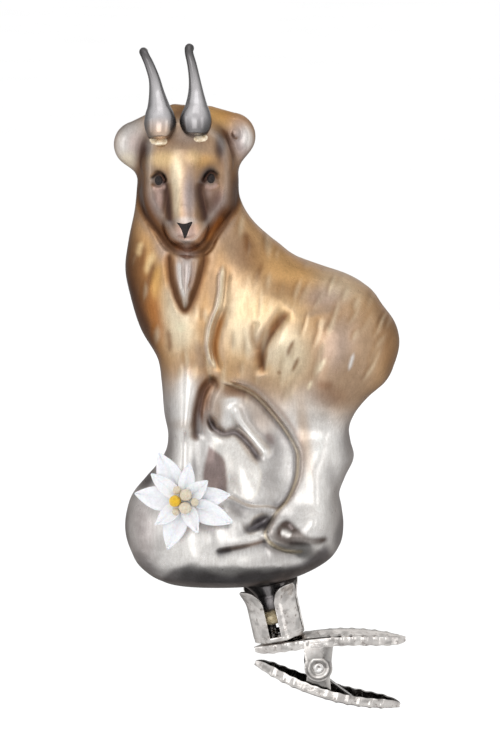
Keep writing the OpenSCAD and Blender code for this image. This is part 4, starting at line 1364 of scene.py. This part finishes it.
def horn_glass():
    m = Nodes("horn_glass")
    streak = m.ramp(m.noise((0.45, 0.45, 0.06), 2), [(0.3, (0.86, 0.85, 0.85)), (0.7, (1, 1, 1))])
    m.colour(m.mix(m.painted(), streak))
    m.rough(m.spread(m.noise((0.8, 0.8, 0.2)), 0.16, 0.3, 0.3, 0.7))
    m.bump(m.noise((0.4, 0.4, 0.1), 2), 0.04, 0.3)
    m.set(Metallic=0.85, Specular_Tint=(0.5, 0.48, 0.48, 1), Coat_Weight=0.5, Coat_Roughness=0.08)
    return m.material


def enamel():
    m = Nodes("black_enamel")
    m.colour(m.ramp(m.noise(2), [(0.3, (0.006, 0.005, 0.005)), (0.7, (0.03, 0.02, 0.018))]))
    m.rough(m.spread(m.noise(3), 0.4, 0.55))
    m.bump(m.noise(2.5), 0.03)
    m.set(Specular_IOR_Level=0.25)
    return m.material


def clear_glue():
    m = Nodes("clear_glue")
    m.colour(m.ramp(m.noise(0.9), [(0.3, (0.5, 0.36, 0.2)), (0.65, (0.9, 0.78, 0.6))]))
    m.rough(m.spread(m.noise(1.5), 0.08, 0.25))
    m.bump(m.noise(1.6), 0.06)
    m.set(Metallic=0.35, Coat_Weight=0.6, Coat_Roughness=0.05)
    return m.material


def felt(name, shades, relief=0.07, sheen=0.25):
    """Stiffened felt: short fibres and slight mottling."""
    m = Nodes(name)
    m.colour(m.ramp(m.noise(1.5, 6, 0.7), [(0.3, shades[0]), (0.7, shades[1])]))
    m.rough(m.spread(m.noise(2), 0.8, 0.97))
    m.bump(m.noise(6, 6, 0.7), relief, 0.8)
    m.set(Sheen_Weight=sheen, Sheen_Roughness=0.5, Subsurface_Weight=0.15,
          Subsurface_Scale=0.0006)
    return m.material


def cement():
    m = Nodes("cement")
    m.colour(m.ramp(m.noise(0.9, 6, 0.7),
                    [(0.3, (0.16, 0.12, 0.06)), (0.5, (0.46, 0.37, 0.22)), (0.7, (0.68, 0.6, 0.42))]))
    m.rough(m.spread(m.noise(2), 0.55, 0.9))
    m.bump(m.noise(2.2, 6), 0.16)
    return m.material


def nickel(name="nickel", bright=0.8, low=0.08, high=0.2, painted_stains_and_shade=False):
    """Nickel plate: polished, with fine scratches, rub marks and grime in its pits; when asked, it
    also takes the random stains and painted shade from the paint attribute.
    """
    m = Nodes(name)
    grime = m.ramp(m.noise(0.9, 6, 0.6),
                   [(0.3, (0.34, 0.31, 0.29)), (0.42, (0.9, 0.88, 0.87)), (0.7, (1, 1, 1))])
    plate = m.ramp(m.noise(0.3, 3),
                   [(0.3, (bright * 0.8, bright * 0.78, bright * 0.77)),
                    (0.7, (bright * 1.15, bright * 1.14, bright * 1.12))])
    worn = m.mix(plate, grime)
    # the paint attribute holds random stains and painted shade
    m.colour(m.mix(worn, m.painted()) if painted_stains_and_shade else worn)
    m.rough(m.spread(m.noise(1.1, 6, 0.6), low, high, 0.3, 0.7))
    m.bump(m.noise((0.45, 0.7, 0.7), 3, 0.5), 0.12, 0.6)
    m.set(Metallic=1.0, Specular_Tint=(0.8, 0.78, 0.76, 1))
    return m.material


def floor_finish():
    m = Nodes("studio_floor")
    m.colour(m.ramp(m.noise(0.01), [(0.3, (0.92, 0.92, 0.92)), (0.7, (0.94, 0.94, 0.94))]))
    m.set(Roughness=0.95)
    return m.material


# ---------------------------------------------------------------- putting it together
GLASS, HORN, ENAMEL, GLUE = painted_glass(), horn_glass(), enamel(), clear_glue()
PETAL = felt("white_petal", ((0.70, 0.71, 0.74), (0.84, 0.85, 0.87)))
YELLOW = felt("yellow_bead", ((0.60, 0.34, 0.01), (0.86, 0.58, 0.03)), 0.16)
CREAM = felt("cream_bead", ((0.50, 0.42, 0.30), (0.76, 0.69, 0.56)), 0.16)
CEMENT, NICKEL = cement(), nickel()
# nickel that also takes the stains and painted shade from the paint attribute
NICKEL_STAINS_AND_SHADE = nickel("nickel_painted_stains_and_shade", painted_stains_and_shade=True)
WIRE = nickel("spring_wire", 0.5, 0.2, 0.36)

finish_piece(goat, "ornament", "painted_glass", GLASS, "glass_figure")
for side in ("left", "right"):
    finish_piece(make_horn(side), "ornament", "horn_glass", HORN, side + "_horn")
    finish_piece(make_horn_glue(side), "ornament", "clear_glue", GLUE, side + "_horn_glue")
for side, place in EYES.items():
    eye = enamel_dot("enamel_eye_" + side, oval(*place, 0.85, 1.05), ENAMEL_LIFT)
    finish_piece(eye, "ornament", "painted_glass", ENAMEL)
nose = enamel_dot("enamel_nose", [(-22.8, 92.3), (-21.1, 92), (-19.4, 92.4), (-20, 90.9), (-21, 88.8),
                                  (-21.8, 90.8)], ENAMEL_LIFT)
finish_piece(nose, "ornament", "painted_glass", ENAMEL)

above = PETAL_THICK + STAR_GAP
finish_piece(make_star("outer_felt_star", OUTER_PETALS, 0.15, 31), "ornament", "white_petal",
             PETAL, "outer_petals")
finish_piece(make_star("inner_felt_star", INNER_PETALS, above + 0.25, 47), "ornament",
             "white_petal", PETAL, "inner_petals")
finish_piece(make_bead("yellow_floret", *YELLOW_BEAD, 60), "ornament", "yellow_bead", YELLOW,
             "centre_floret")
for i, bead in enumerate(CREAM_BEADS, 1):
    finish_piece(make_bead(f"cream_felt_bead_{i}", *bead, 60 + i), "ornament", "cream_bead", CREAM,
                 f"cream_floret_{i}")

finish_piece(make_cement(), "ornament", "cement", CEMENT, "neck_cement")
finish_piece(make_sleeve(), "ornament", "nickel", NICKEL_STAINS_AND_SHADE, "clip_sleeve")
finish_piece(make_lever("upper_leaf_lever", UPPER, UPPER_EAR_Y, UPPER_EAR_R, UPPER_EAR_REACH, 0.2),
             "ornament", "nickel", NICKEL_STAINS_AND_SHADE, "upper_lever")
finish_piece(make_lever("lower_leaf_lever", LOWER, LOWER_EAR_Y, LOWER_EAR_R, LOWER_EAR_REACH, 0.2),
             "lower_jaw", "nickel", NICKEL_STAINS_AND_SHADE, "lower_lever")
finish_piece(make_rivet(), "ornament", "nickel", NICKEL, "pivot_rivet")
spring = make_spring()
spring.data.materials.append(WIRE)
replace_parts(spring, "torsion_spring")
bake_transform(spring)
for node, material in (("sleeve_eyelet", NICKEL), ("flower_glue", GLUE)):
    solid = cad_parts[node]
    for k in range(max(1, len(solid.material_slots))):
        if not solid.material_slots:
            solid.data.materials.append(material)
        solid.material_slots[k].material = material


# ---------------------------------------------------------------- stage, light and camera
def soft_box(name, place, size, radiance, target):
    light = bpy.data.lights.new(name, "AREA")
    light.shape = "RECTANGLE"
    light.size, light.size_y = size
    light.energy = radiance * math.pi * size[0] * size[1]
    lamp = bpy.data.objects.new(name, light)
    bpy.context.collection.objects.link(lamp)
    lamp.visible_camera = False
    lamp.location = place
    lamp.rotation_euler = (Vector(target) - Vector(place)).to_track_quat("-Z", "Y").to_euler()


AIM = Vector((-0.00746, 0, 0.0612))
CAMERA_DISTANCE = 0.887
camera_data = bpy.data.cameras.new("camera")
camera_data.lens = 200
camera = bpy.data.objects.new("camera", camera_data)
bpy.context.collection.objects.link(camera)
camera.location = AIM + CAMERA_DISTANCE * Vector((0, -math.cos(VIEW_TILT), math.sin(VIEW_TILT)))
camera.rotation_euler = (AIM - camera.location).to_track_quat("-Z", "Y").to_euler()
bpy.context.scene.camera = camera

low, high = [Vector(corner) for corner in cad_box]
middle = (low + high) / 2
floor_z, floor_side = low.z / MM - 60, 4000
floor = mesh_object("floor", [(x, y, floor_z) for x, y in ((-1, -1), (1, -1), (1, 1), (-1, 1))]
                    * np.array([floor_side, floor_side, 1]), [(0, 1, 2, 3)], False)
floor.data.materials.append(floor_finish())
floor.visible_glossy = False


def studio_world():
    """An even white room; in reflections its floor and far wall are darker."""
    w = Nodes("studio", bpy.data.worlds, "Background")
    bpy.context.scene.world = w.material
    w.set(Color=(1, 1, 1, 1))
    split = w.add("SeparateXYZ")
    w.link(w.add("TexCoord").outputs["Generated"], split, 0)
    shade = w.add("Math", operation="MULTIPLY")
    for socket, (axis, *span) in enumerate((("Z", 0.15, 0.82, -0.98, -0.8), ("Y", 1, 0.55, 0.1, 0.9))):
        w.link(w.spread(split.outputs[axis], *span, "SMOOTHSTEP"), shade, socket)
    mix = w.add("Mix", A=1.1)
    w.link(shade.outputs["Value"], mix, "B")
    w.link(w.add("LightPath").outputs["Is Glossy Ray"], mix, "Factor")
    w.link(mix.outputs["Result"], w.shader, "Strength")


studio_world()
soft_box("front", (-0.15, -0.9, 0.2), (0.6, 0.8), 0.95, middle)
soft_box("front_right", (0.75, -0.6, 0.2), (0.3, 0.8), 0.6, middle)
soft_box("left", (-0.9, -0.2, 0.2), (0.3, 0.8), 0.5, middle)
soft_box("back", (0.2, 0.9, 0.4), (0.5, 0.6), 0.5, middle)
soft_box("top", (0, -0.1, 0.9), (0.5, 0.4), 0.5, middle)
bpy.context.scene.view_settings.view_transform = "Standard"
